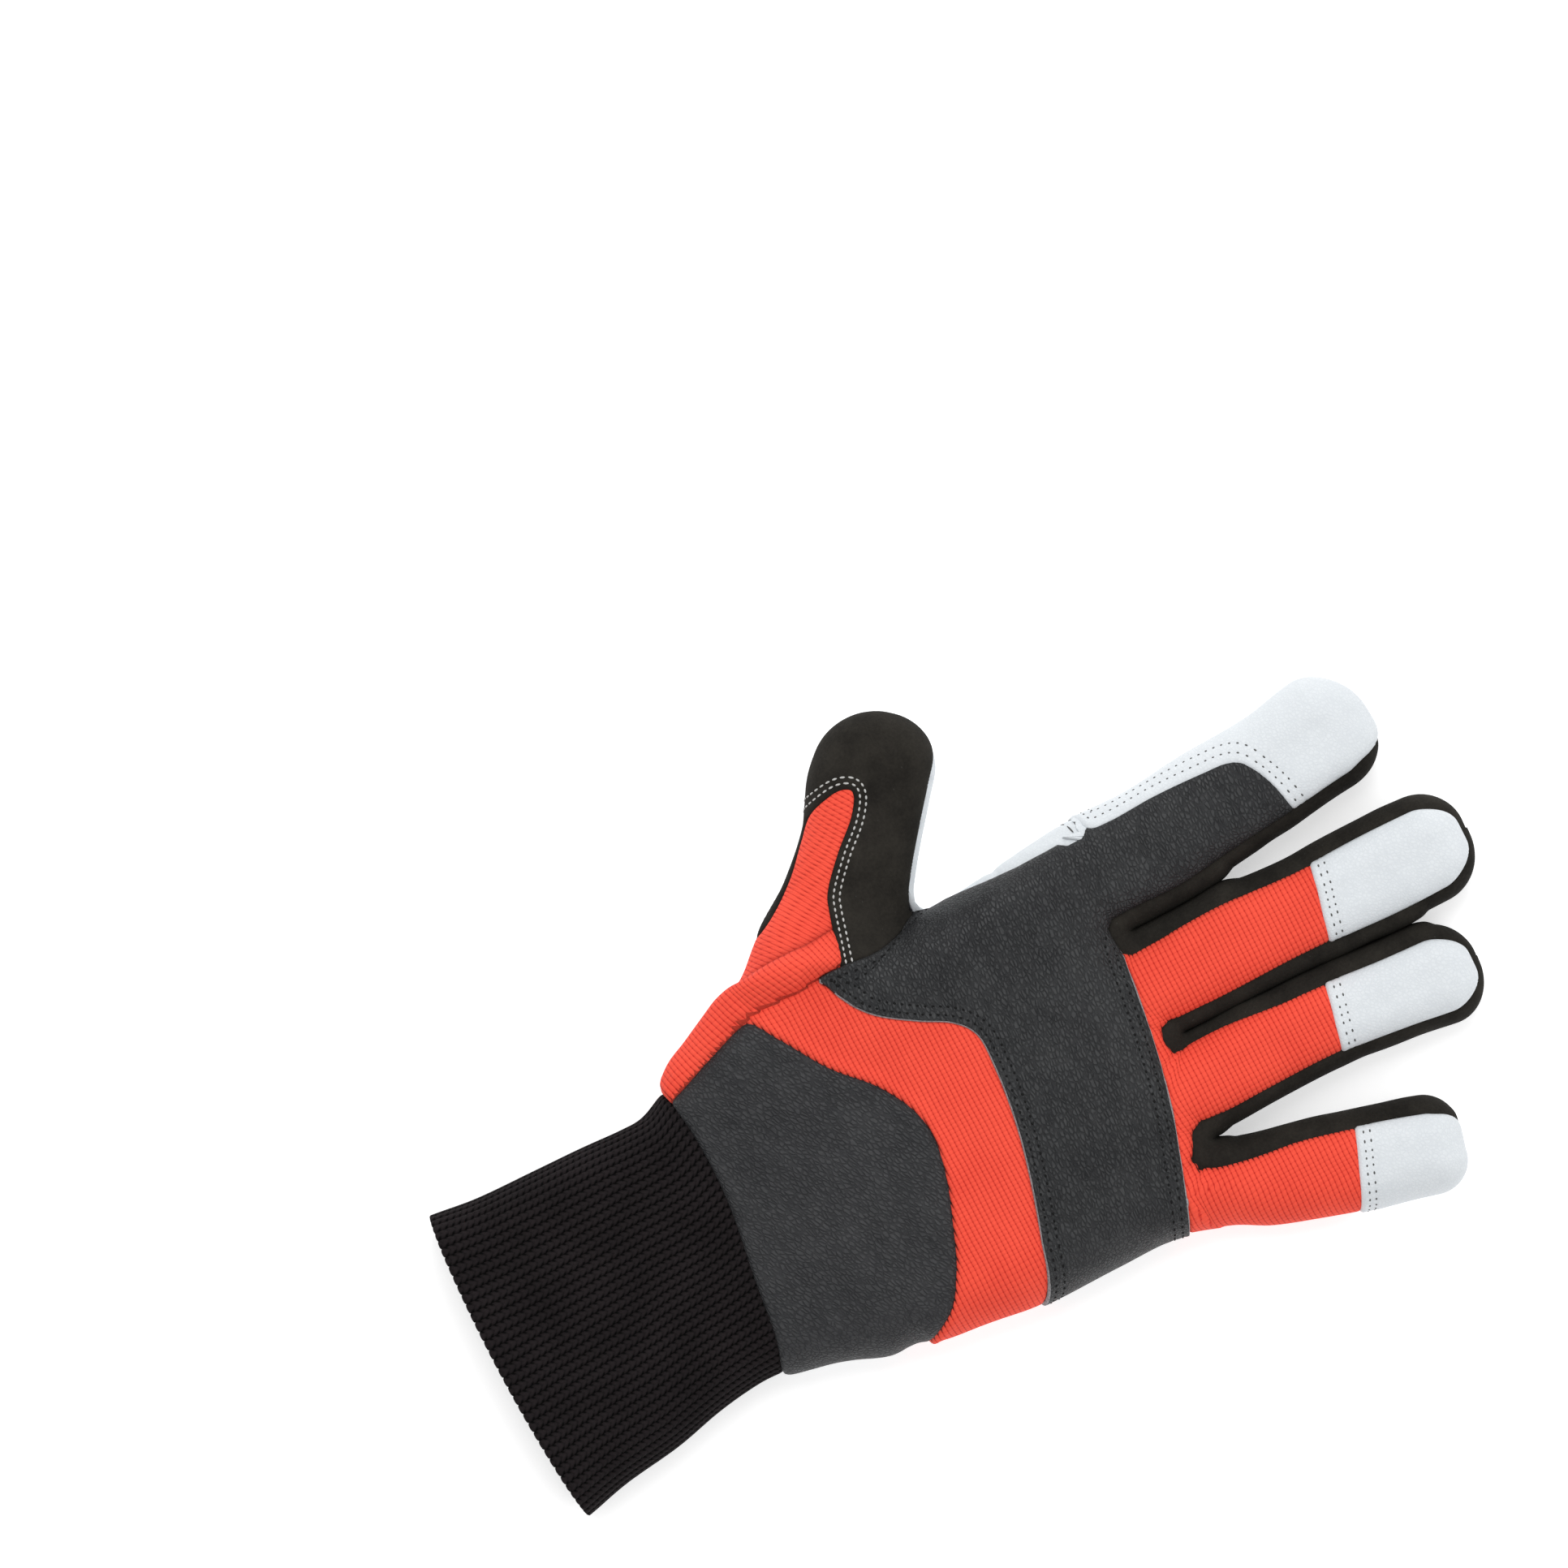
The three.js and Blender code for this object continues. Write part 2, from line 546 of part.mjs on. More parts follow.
// A flat sheet of triangles that seam lines divide without leaving gaps.
class Sheet {
  constructor(low, high, cell) {
    const across = ruled(low.x, high.x, cell, crotch.x);
    const along = ruled(low.y, high.y, cell, crotch.y);
    const [columns, rows] = [across.length - 1, along.length - 1];
    this.cell = cell;
    this.points = [];
    this.held = [];
    this.triangles = [];
    for (let j = 0; j <= rows; j += 1) {
      for (let i = 0; i <= columns; i += 1) {
        this.points.push(new THREE.Vector2(across[i], along[j]));
        this.held.push(false);
      }
    }
    const index = (i, j) => j * (columns + 1) + i;
    for (let j = 0; j < rows; j += 1) {
      for (let i = 0; i < columns; i += 1) {
        const [a, b, c, d] = [index(i, j), index(i + 1, j), index(i + 1, j + 1), index(i, j + 1)];
        const pair = (i + j) % 2 ? [[a, b, c], [a, c, d]] : [[a, b, d], [b, c, d]];
        pair.forEach((corners) => this.triangles.push({ corners, sides: {} }));
      }
    }
  }

  middle(corners) {
    return corners.reduce((sum, i) => sum.add(this.points[i]), new THREE.Vector2()).divideScalar(3);
  }

  // Divides the triangles that a seam applies to along its field's zero line, and notes their sides.
  divide(name, field, { keep = null, applies = () => true } = {}) {
    const chosen = this.triangles.filter(({ sides, corners }) => applies(sides, this.middle(corners)));
    const others = this.triangles.filter((triangle) => !chosen.includes(triangle));
    const used = new Set(chosen.flatMap(({ corners }) => corners));
    const value = this.points.map((p, i) => (used.has(i) ? field(p) : 0));
    const close = 0.24 * this.cell;
    this.points.forEach((p, i) => {
      if (!used.has(i)) return;
      if (this.held[i]) {
        if (Math.abs(value[i]) < 0.08) value[i] = 0;
        return;
      }
      if (Math.abs(value[i]) > close) return;
      const slope = slopeOf(field, p);
      const size = slope.lengthSq();
      if (size < 0.2) return;
      p.addScaledVector(slope, -value[i] / size);
      value[i] = 0;
      this.held[i] = true;
    });
    const crossings = new Map();
    const crossing = (a, b) => {
      const key = a < b ? `${a},${b}` : `${b},${a}`;
      if (!crossings.has(key)) {
        const [first, last] = [this.points[a], this.points[b]];
        let [low, high] = [0, 1];
        for (let k = 0; k < 12; k += 1) {
          const half = (low + high) / 2;
          if (field(first.clone().lerp(last, half)) > 0 === value[a] > 0) low = half;
          else high = half;
        }
        crossings.set(key, this.points.length);
        this.points.push(first.clone().lerp(last, clamp((low + high) / 2, 0.04, 0.96)));
        this.held.push(true);
        value.push(0);
      }
      return crossings.get(key);
    };
    const made = [];
    for (const { corners, sides } of chosen) {
      const signs = corners.map((i) => Math.sign(value[i]));
      const add = (list, sign) => made.push({ corners: list, sides: { ...sides, [name]: sign } });
      if (!signs.includes(1) || !signs.includes(-1)) {
        add(corners, signs.includes(1) ? 1 : -1);
        continue;
      }
      const lone = signs.findIndex((s, i) => s !== signs[(i + 1) % 3] && s !== signs[(i + 2) % 3]);
      const turn = signs.includes(0) ? signs.indexOf(0) : lone;
      const [a, b, c] = [corners[turn], corners[(turn + 1) % 3], corners[(turn + 2) % 3]];
      const [sa, sb] = [Math.sign(value[a]), Math.sign(value[b])];
      if (sa === 0) {
        const m = crossing(b, c);
        add([a, b, m], sb);
        add([a, m, c], -sb);
        continue;
      }
      const [m, n] = [crossing(a, b), crossing(c, a)];
      add([a, m, n], sa);
      const near = this.points[m].distanceTo(this.points[c]) < this.points[n].distanceTo(this.points[b]);
      const quad = near ? [[m, b, c], [m, c, n]] : [[m, b, n], [b, c, n]];
      quad.forEach((list) => add(list, -sa));
    }
    this.triangles = [...others, ...made.filter(({ sides }) => keep === null || sides[name] === keep)];
  }

  // The edges that only one triangle has, each with that triangle's number.
  rim(triangles) {
    const edges = new Map();
    triangles.forEach(({ corners: [a, b, c] }, number) => {
      [[a, b], [b, c], [c, a]].forEach(([from, to]) => {
        if (!edges.delete(`${to},${from}`)) edges.set(`${from},${to}`, [from, to, number]);
      });
    });
    return [...edges.values()];
  }

  // Adds a point in the middle of an outer edge where the edge strays from the field's zero line.
  follow(field, tolerance) {
    this.rim(this.triangles).forEach(([a, b, number]) => {
      const triangle = this.triangles[number];
      const middle = this.points[a].clone().lerp(this.points[b], 0.5);
      const p = middle.clone();
      for (let i = 0; i < 2; i += 1) {
        const slope = slopeOf(field, p);
        p.addScaledVector(slope, -field(p) / Math.max(slope.lengthSq(), 0.2));
      }
      const moved = p.distanceTo(middle);
      const most = 0.5 * this.points[a].distanceTo(this.points[b]);
      if (triangle.split || moved < tolerance || moved > most) return;
      const c = triangle.corners.find((i) => i !== a && i !== b);
      const m = this.points.length;
      this.points.push(p);
      this.held.push(true);
      triangle.split = true;
      triangle.corners = [a, m, c];
      this.triangles.push({ corners: [m, b, c], sides: { ...triangle.sides }, split: true });
    });
    this.triangles.forEach((triangle) => { triangle.split = false; });
  }

  // The triangles of one piece, with its edge drawn in by half the seam's gap.
  piece(belongs) {
    const chosen = this.triangles.filter(({ sides, corners }) => belongs(sides, this.middle(corners)));
    const numbers = new Map();
    const points = [];
    const faces = chosen.map(({ corners }) => corners.map((i) => {
      if (!numbers.has(i)) {
        numbers.set(i, points.length);
        points.push(this.points[i].clone());
      }
      return numbers.get(i);
    }));
    const rim = this.rim(faces.map((corners) => ({ corners })));
    const pull = points.map(() => new THREE.Vector2());
    rim.forEach(([a, b]) => {
      const along = points[b].clone().sub(points[a]);
      const inside = new THREE.Vector2(-along.y, along.x).normalize();
      pull[a].add(inside);
      pull[b].add(inside);
    });
    points.forEach((p, i) => {
      const size = pull[i].length();
      const room = 1 + crotchEase * (1 - smoothstep(p.distanceTo(crotch), 4, 10));
      if (size > 1e-6) p.addScaledVector(pull[i], room * (seamGap / 2) * Math.min(2 / (size * size), 1.6));
    });
    return { points, faces, rim };
  }
}

function meshOf(name, positions, indices, finish) {
  let volume = 0;
  for (let i = 0; i < indices.length; i += 3) {
    const [a, b, c] = [positions[indices[i]], positions[indices[i + 1]], positions[indices[i + 2]]];
    volume += a.dot(b.clone().cross(c)) / 6;
  }
  const facing = volume > 0 ? indices : [...indices].reverse();
  const geometry = new THREE.BufferGeometry();
  const numbers = positions.flatMap((p) => [p.x, p.y, p.z]);
  geometry.setAttribute('position', new THREE.Float32BufferAttribute(numbers, 3));
  geometry.setIndex(facing);
  geometry.computeVertexNormals();
  const mesh = new THREE.Mesh(geometry, new THREE.MeshStandardMaterial({ ...finish, metalness: 0 }));
  mesh.name = name;
  return mesh;
}

// Lays a flat piece on the glove as a wall: lift is where its outer face stands at each point.
function sewn(name, { points, faces, rim }, side, wall, lift, finish) {
  const outer = points.map((p) => placed(p, side, lift(p)));
  const inner = points.map((p) => placed(p, side, lift(p) - wall));
  const count = points.length;
  const indices = [];
  const add = (a, b, c) => indices.push(...(side > 0 ? [a, b, c] : [a, c, b]));
  faces.forEach(([a, b, c]) => {
    add(a, b, c);
    add(a + count, c + count, b + count);
  });
  rim.forEach(([a, b]) => {
    add(a, a + count, b);
    add(b, a + count, b + count);
  });
  return meshOf(name, [...outer, ...inner], indices, finish);
}

// Follows the outline from one fingertip to the next and keeps more points where it turns.
function followOutline(from, to) {
  const step = 0.4;
  const settle = (p) => {
    for (let i = 0; i < 4; i += 1) p.addScaledVector(inward(p), -depth(p));
    return p;
  };
  const p = settle(from.clone());
  const end = settle(to.clone());
  const found = [{ at: p.clone(), into: inward(p) }];
  let length = 0;
  let heading = null;
  for (let i = 0; i < 2000 && p.distanceTo(end) > step; i += 1) {
    const into = inward(p);
    const way = new THREE.Vector2(into.y, -into.x);
    p.addScaledVector(way, -step);
    settle(p);
    length += step;
    heading = heading ?? into;
    const turn = Math.abs(Math.atan2(heading.x * into.y - heading.y * into.x, heading.dot(into)));
    if (length / stripCell + turn / degToRad(32) > 1) {
      found.push({ at: p.clone(), into: inward(p) });
      length = 0;
      heading = into;
    }
  }
  found.push({ at: end, into: inward(end) });
  return found;
}

const fingertip = (finger) => finger.root.clone().addScaledVector(finger.axis, finger.length);

// A point on the edge of the glove, at an angle over it and moved out by lift.
function onEdge({ at, into }, angle, lift) {
  const { widest, back, palm } = form(at);
  const turn = degToRad(angle);
  const { roll, tall } = angle <= 90 ? back : palm;
  const out = new THREE.Vector2(Math.sin(turn) / roll, Math.cos(turn) / tall).normalize();
  const move = roll * (1 - Math.sin(turn)) - lift * out.x;
  const z = widest + tall * Math.cos(turn) + lift * out.y;
  return new THREE.Vector3(at.x + into.x * move, at.y + into.y * move, z);
}

// Joins two grids of points, an outer and an inner layer, into one closed wall.
function wallOf(name, layers, closed, finish) {
  const [long, wide] = [layers[0].length, layers[0][0].length];
  const at = (k, i, j) => (k * long + (i % long)) * wide + j;
  const indices = [];
  const quad = (a, b, c, d) => indices.push(a, b, c, a, c, d);
  const runs = closed ? long : long - 1;
  for (let i = 0; i < runs; i += 1) {
    for (let j = 0; j + 1 < wide; j += 1) {
      quad(at(0, i, j), at(0, i, j + 1), at(0, i + 1, j + 1), at(0, i + 1, j));
      quad(at(1, i, j), at(1, i + 1, j), at(1, i + 1, j + 1), at(1, i, j + 1));
    }
    quad(at(0, i, 0), at(0, i + 1, 0), at(1, i + 1, 0), at(1, i, 0));
    quad(at(0, i, wide - 1), at(1, i, wide - 1), at(1, i + 1, wide - 1), at(0, i + 1, wide - 1));
  }
  for (let j = 0; j + 1 < wide && !closed; j += 1) {
    quad(at(0, 0, j), at(1, 0, j), at(1, 0, j + 1), at(0, 0, j + 1));
    quad(at(0, long - 1, j), at(0, long - 1, j + 1), at(1, long - 1, j + 1), at(1, long - 1, j));
  }
  return meshOf(name, layers.flat(2), indices, finish);
}

// The black strip down one finger, round the web and up the next, between the two sheets.
function betweenFingers(name, finger, next, finish) {
  const open = 24;
  const path = followOutline(fingertip(finger), fingertip(next)).map((spot) => {
    const { back, palm } = form(spot.at);
    const [backSeam, palmSeam] = seamAngles(spot.at.clone().addScaledVector(spot.into, 2));
    const web = 1 - smoothstep(onFinger(next, spot.at).along, 0.02 * next.length, 0.15 * next.length);
    const atTip = (one) => smoothstep(onFinger(one, spot.at).along, 0.8 * one.length, one.length);
    const gap = stripGap * (1 + 0.5 * web + 0.8 * (atTip(finger) + atTip(next)));
    const [from, to] = [backSeam + (90 * gap) / back.near, palmSeam - (90 * gap) / palm.near];
    return { spot, from, to };
  }).filter(({ from, to }) => to - from > open);
  const layer = (lift) => path.map(({ spot, from, to }) => Array.from({ length: stripRows + 1 },
    (_, j) => onEdge(spot, lerp(from, to, j / stripRows), lift)));
  return wallOf(name, [layer(0), layer(-stripWall)], false, finish);
}

// The height of the cuff's seam above the hem, on the back or on the palm side.
function cuffTop(x, above) {
  const probe = new THREE.Vector2(x, wristY);
  return wristY - (above ? seam.wristBack(probe) : seam.wristPalm(probe)) - cuffGap;
}

// The rib-knit cuff: a tube whose outer wall has its ribs and whose top end meets the seam.
function ribbedCuff(name, finish) {
  const stations = [0, 0.4, 0.82, 1];
  const ribs = Math.round((1.86 * (cuffDepth + 0.8 * palmWidth)) / ribPitch);
  const around = 2 * ribs;
  const spot = (turn, share, inset) => {
    const left = -thumbEdge(share * cuffTop(-0.43 * palmWidth, true)) * palmWidth;
    const right = littleEdge(share * cuffTop(0.35 * palmWidth, true)) * palmWidth;
    const { widest, back, palm } = form(new THREE.Vector2((left + right) / 2, share * wristY));
    const quarter = (half) => (Math.PI / 4) * (half.roll + half.tall);
    const flat = (half) => right - left - 2 * half.roll;
    const lengths = [quarter(back), flat(back), quarter(back), quarter(palm), flat(palm), quarter(palm)];
    let way = turn * lengths.reduce((sum, length) => sum + length, 0);
    let k = 0;
    while (way > lengths[k]) {
      way -= lengths[k];
      k += 1;
    }
    const half = k < 3 ? back : palm;
    const up = k < 3 ? 1 : -1;
    const side = k === 0 || k === 5 ? -1 : 1;
    const corner = side < 0 ? left + half.roll : right - half.roll;
    const climb = k === 0 || k === 3 ? way / lengths[k] : 1 - way / lengths[k];
    const turned = k === 1 || k === 4 ? Math.PI / 2 : (Math.PI / 2) * climb;
    const slid = k === 1 ? left + half.roll + way : right - half.roll - way;
    const x = k === 1 || k === 4 ? slid : corner + side * half.roll * Math.cos(turned);
    const out = new THREE.Vector2((side * Math.cos(turned)) / half.roll, (up * Math.sin(turned)) / half.tall);
    out.normalize();
    const hem = (share - 1) * hemSag * (1 - (x / (0.45 * palmWidth)) ** 2);
    const z = widest + up * half.tall * Math.sin(turned) - inset * out.y;
    return new THREE.Vector3(x - inset * out.x, share * cuffTop(x, k < 3) + hem, z);
  };
  const layer = (inset, ribbed) => Array.from({ length: around }, (_, i) => stations.map(
    (share) => spot((i + 0.5) / around, share, inset + (ribbed && i % 2 ? ribHeight : 0)),
  ));
  return wallOf(name, [layer(0, true), layer(cuffWall, false)], true, finish);
}

const finishes = {
  blackLeather: { color: 0x24262a, roughness: 0.5 },
  blackSuede: { color: 0x1f1c18, roughness: 0.9 },
  orangeKnit: { color: 0xf2401f, roughness: 0.85 },
  whiteLeather: { color: 0xdfe3ea, roughness: 0.6 },
  ribKnit: { color: 0x131011, roughness: 0.95 },
};

const margin = 26;
const thumbTip = fingertip(byName.thumb);
const littleTip = fingertip(byName.little);
const middleTip = fingertip(byName.middle);
const sheetLow = new THREE.Vector2(thumbTip.x - thumbWidth / 2 - margin, wristY - 0.12 * palmLength);
const sheetHigh = new THREE.Vector2(littleTip.x + littleWidth / 2 + margin, middleTip.y + margin);
const onlyOn = (finger, p) => fingerDepthAt(finger, p) > -8 && fingers.every((other) => other === finger
  || fingerDepthAt(other, p) < fingerDepthAt(finger, p));

const back = new Sheet(sheetLow, sheetHigh, backCell);
back.divide('widest', (p) => depth(p) + stretchAt(p));
back.divide('edge', backEdge, { keep: 1 });
back.follow(backEdge, 0.1);
back.follow(backEdge, 0.1);
back.divide('wrist', seam.wristBack, { keep: 1 });
back.divide('knuckleEdge', seam.knuckleEdge);
back.divide('knuckleTop', seam.knuckleTop, { applies: (s) => s.knuckleEdge > 0 });
back.divide('indexEdge', seam.indexEdge, { applies: (s) => s.knuckleEdge > 0 && s.knuckleTop < 0 });
back.divide('thumbKnit', seam.thumbKnit, { applies: (s) => s.knuckleEdge < 0 });
back.divide('thumbSideSeam', seam.thumbSideSeam, { applies: (s) => s.thumbKnit < 0 });
back.divide('wristPatch', seam.wristPatch, { applies: (s) => s.thumbSideSeam > 0 });
for (const name of Object.keys(tipRows)) {
  const applies = (s, p) => s.knuckleTop > 0 && onlyOn(byName[name], p) && !s.tip;
  back.divide('tip', seam[`${name}Tip`], { applies });
}

const palm = new Sheet(sheetLow, sheetHigh, palmCell);
palm.divide('widest', (p) => depth(p) + stretchAt(p));
palm.divide('edge', palmEdge, { keep: 1 });
palm.follow(palmEdge, 0.1);
palm.follow(palmEdge, 0.1);
palm.divide('wrist', seam.wristPalm, { keep: 1 });
palm.divide('thumbSeam', seam.thumbSeam);
palm.divide('palmTop', seam.palmTop, { applies: (s) => s.thumbSeam > 0 });

const proud = () => patchStep;
const level = () => 0;
const tipOf = (name) => (s, p) => s.tip > 0 && onlyOn(byName[name], p);
const pieces = [
  ['wrist_patch', back, (s) => s.wristPatch < 0, 1, leatherWall, proud, 'blackLeather'],
  ['back_band', back, (s) => s.wristPatch > 0, 1, knitWall, level, 'orangeKnit'],
  ['thumb_knit', back, (s) => s.thumbSideSeam < 0, 1, knitWall, level, 'orangeKnit'],
  ['thumb_back', back, (s) => s.thumbKnit > 0, 1, leatherWall, level, 'blackSuede'],
  ['knuckle_patch', back, (s) => s.indexEdge < 0, 1, leatherWall, proud, 'blackLeather'],
  ['index_wrap', back, (s) => s.indexEdge > 0, 1, leatherWall, level, 'whiteLeather'],
  ['finger_backs', back, (s) => s.knuckleTop > 0 && !(s.tip > 0), 1, knitWall, level, 'orangeKnit'],
  ['middle_tip', back, tipOf('middle'), 1, leatherWall, level, 'whiteLeather'],
  ['ring_tip', back, tipOf('ring'), 1, leatherWall, level, 'whiteLeather'],
  ['little_tip', back, tipOf('little'), 1, leatherWall, level, 'whiteLeather'],
  ['thumb_front', palm, (s) => s.thumbSeam < 0, -1, leatherWall, level, 'whiteLeather'],
  ['palm_front', palm, (s) => s.palmTop > 0, -1, leatherWall, level, 'whiteLeather'],
  ['palm_patch', palm, (s) => s.palmTop < 0, -1, leatherWall, (p) => patchStep * underPatch(p), 'whiteLeather'],
];

const glove = new THREE.Group();
glove.name = 'chainsaw_glove';
for (const [name, sheet, belongs, side, wall, lift, finish] of pieces) {
  glove.add(sewn(name, sheet.piece(belongs), side, wall, lift, finishes[finish]));
}
glove.add(betweenFingers('fourchette_index_middle', byName.index, byName.middle, finishes.blackSuede));
glove.add(betweenFingers('fourchette_middle_ring', byName.middle, byName.ring, finishes.blackSuede));
glove.add(betweenFingers('fourchette_ring_little', byName.ring, byName.little, finishes.blackSuede));
glove.add(ribbedCuff('cuff_rib', finishes.ribKnit));

// The glove stands with the middle of its underside at the origin.
const box = new THREE.Box3().setFromObject(glove);
const middle = box.getCenter(new THREE.Vector3());
glove.children.forEach((mesh) => mesh.geometry.translate(-middle.x, -middle.y, -box.min.z));

export default glove;
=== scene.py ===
"""Dresses a work glove for chainsaw use: leather patches, orange knit, white tips, ribbed cuff, stitches."""
import logging
import math
from dataclasses import dataclass, field
from enum import Enum
from typing import Callable

import bpy
import numpy as np
from mathutils import Matrix


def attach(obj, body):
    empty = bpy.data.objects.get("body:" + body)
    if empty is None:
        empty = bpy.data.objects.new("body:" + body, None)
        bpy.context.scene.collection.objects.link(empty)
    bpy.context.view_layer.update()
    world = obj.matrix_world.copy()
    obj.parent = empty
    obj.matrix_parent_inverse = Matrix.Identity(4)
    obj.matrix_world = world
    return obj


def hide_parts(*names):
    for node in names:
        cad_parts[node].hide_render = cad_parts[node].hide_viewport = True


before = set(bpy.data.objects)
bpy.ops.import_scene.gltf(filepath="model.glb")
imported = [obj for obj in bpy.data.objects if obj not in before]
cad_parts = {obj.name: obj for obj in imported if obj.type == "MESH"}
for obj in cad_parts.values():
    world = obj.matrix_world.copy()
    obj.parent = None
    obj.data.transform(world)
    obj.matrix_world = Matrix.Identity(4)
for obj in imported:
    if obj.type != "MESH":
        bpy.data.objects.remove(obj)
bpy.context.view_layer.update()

log = logging.getLogger("glove")
Array = np.ndarray


# Small helpers on arrays of numbers


def lerp(low: Array, high: Array, share: Array) -> Array:
    """Goes from low to high by a share."""
    return low + (high - low) * share


def smoothstep(value: Array, low: float, high: float) -> Array:
    """Rises smoothly from 0 at low to 1 at high."""
    share = np.clip((value - low) / (high - low), 0.0, 1.0)
    return share * share * (3.0 - 2.0 * share)


def bell(away: Array, width: float) -> Array:
    """A smooth bump that is 1 at no distance and dies out past its width."""
    return np.exp(-((away / width) ** 2))


class SmoothCurve:
    """A smooth curve through a table's column, level beyond its ends."""

    def __init__(self, at: list[float], value: list[float]) -> None:
        """Keeps the table and works out its slopes.

        Args:
            at: Where the values stand.
            value: The values.
        """
        self.at = np.asarray(at, float)
        self.value = np.asarray(value, float)
        number = np.arange(len(self.at))
        before = np.maximum(number - 1, 0)
        after = np.minimum(number + 1, len(self.at) - 1)
        self.slope = (self.value[after] - self.value[before]) / (self.at[after] - self.at[before])

    def __call__(self, where: Array) -> Array:
        """The curve's values.

        Args:
            where: Places along the table.

        Returns:
            One value for each place.
        """
        place = np.clip(where, self.at[0], self.at[-1])
        i = np.clip(np.searchsorted(self.at, place, side="left") - 1, 0, len(self.at) - 2)
        span = self.at[i + 1] - self.at[i]
        u = (place - self.at[i]) / span
        start = u * (1 - u) ** 2 * span * self.slope[i]
        end = -u * u * (1 - u) * span * self.slope[i + 1]
        return lerp(self.value[i], self.value[i + 1], u * u * (3 - 2 * u)) + start + end


class Waves:
    """Smooth random waves over a plane, the same in each run."""

    def __init__(self, seed: int) -> None:
        """Draws the table of heights from the seed."""
        self.table = np.random.default_rng(seed).uniform(-1.0, 1.0, (64, 64))

    def at(self, p: Array, long: float, wide: float, turn: float = 0.0) -> Array:
        """Heights from -1 to 1.

        Args:
            p: Points, two numbers each.
            long: Length of a wave along its own direction.
            wide: Length of a wave across it.
            turn: The direction's angle, in degrees.

        Returns:
            One height for each point.
        """
        c, s = math.cos(math.radians(turn)), math.sin(math.radians(turn))
        q = np.stack([(p[:, 0] * c + p[:, 1] * s) / long, (-p[:, 0] * s + p[:, 1] * c) / wide], 1)
        cell = np.floor(q).astype(int)
        u = q - cell
        u = u * u * (3 - 2 * u)
        i, j = cell[:, 0] % 64, cell[:, 1] % 64
        k, m = (i + 1) % 64, (j + 1) % 64
        low = lerp(self.table[i, j], self.table[k, j], u[:, 0])
        high = lerp(self.table[i, m], self.table[k, m], u[:, 0])
        return lerp(low, high, u[:, 1])


class SeamLine:
    """A curve through points of a flat sheet. Its positive side is on the left as it runs."""

    def __init__(self, points: Array, per_span: int = 8) -> None:
        """Draws the curve.

        Args:
            points: The points it goes through, in millimetres.
            per_span: How many short straight pieces stand for each span.
        """
        p = np.asarray(points, float)
        p = np.concatenate([[2 * p[0] - p[1]], p, [2 * p[-1] - p[-2]]])
        gaps = np.maximum(np.sqrt(np.linalg.norm(np.diff(p, axis=0), axis=1)), 1e-3)
        dots = []
        for i in range(1, len(p) - 2):
            a, b, c = gaps[i - 1], gaps[i], gaps[i + 1]
            m = (p[i] - p[i - 1]) / a - (p[i + 1] - p[i - 1]) / (a + b) + (p[i + 1] - p[i]) / b
            n = (p[i + 1] - p[i]) / b - (p[i + 2] - p[i]) / (b + c) + (p[i + 2] - p[i + 1]) / c
            u = np.linspace(0, 1, per_span, endpoint=False)[:, None]
            rise = (-2 * p[i + 1] + 2 * p[i] + (m + n) * b) * u**3
            bend = (3 * p[i + 1] - 3 * p[i] - (2 * m + n) * b) * u**2
            dots.append(rise + bend + m * b * u + p[i])
        self.dots = np.concatenate([*dots, p[-2:-1]])
        steps = np.linalg.norm(np.diff(self.dots, axis=0), axis=1)
        self.runs = np.concatenate([[0.0], np.cumsum(steps)])

    def measure(self, p: Array) -> tuple[Array, Array]:
        """Where points lie beside the line.

        Args:
            p: Points of the flat sheet.

        Returns:
            Signed distances to the line, and how far along it the nearest place is.
        """
        best = np.full(len(p), np.inf)
        sign = np.ones(len(p))
        along = np.zeros(len(p))
        last = len(self.dots) - 2
        for i in range(last + 1):
            a = self.dots[i]
            b = self.dots[i + 1] - a
            size = b @ b
            x, y = p[:, 0] - a[0], p[:, 1] - a[1]
            t = (x * b[0] + y * b[1]) / size
            t = np.clip(t, -np.inf if i == 0 else 0.0, np.inf if i == last else 1.0)
            away = np.hypot(x - t * b[0], y - t * b[1])
            near = away < best
            best = np.where(near, away, best)
            sign = np.where(near, np.where(b[0] * y - b[1] * x >= 0, 1.0, -1.0), sign)
            along = np.where(near, self.runs[i] + t * math.sqrt(size), along)
        return sign * best, along

    def beside(self, away: float, step: float = 0.2) -> Array:
        """A line beside this one.

        Args:
            away: How far to the left.
            step: The distance between its points.

        Returns:
            The points of the line.
        """
        runs = np.arange(0, self.runs[-1], step)
        x = np.interp(runs, self.runs, self.dots[:, 0])
        y = np.interp(runs, self.runs, self.dots[:, 1])
        span = 6
        dx = np.interp(runs + span * step, self.runs, self.dots[:, 0]) - np.interp(
            runs - span * step, self.runs, self.dots[:, 0]
        )
        dy = np.interp(runs + span * step, self.runs, self.dots[:, 1]) - np.interp(
            runs - span * step, self.runs, self.dots[:, 1]
        )
        size = np.maximum(np.hypot(dx, dy), 1e-6)
        return np.stack([x - away * dy / size, y + away * dx / size], 1)


# The form of the glove, on which the flat pieces are laid


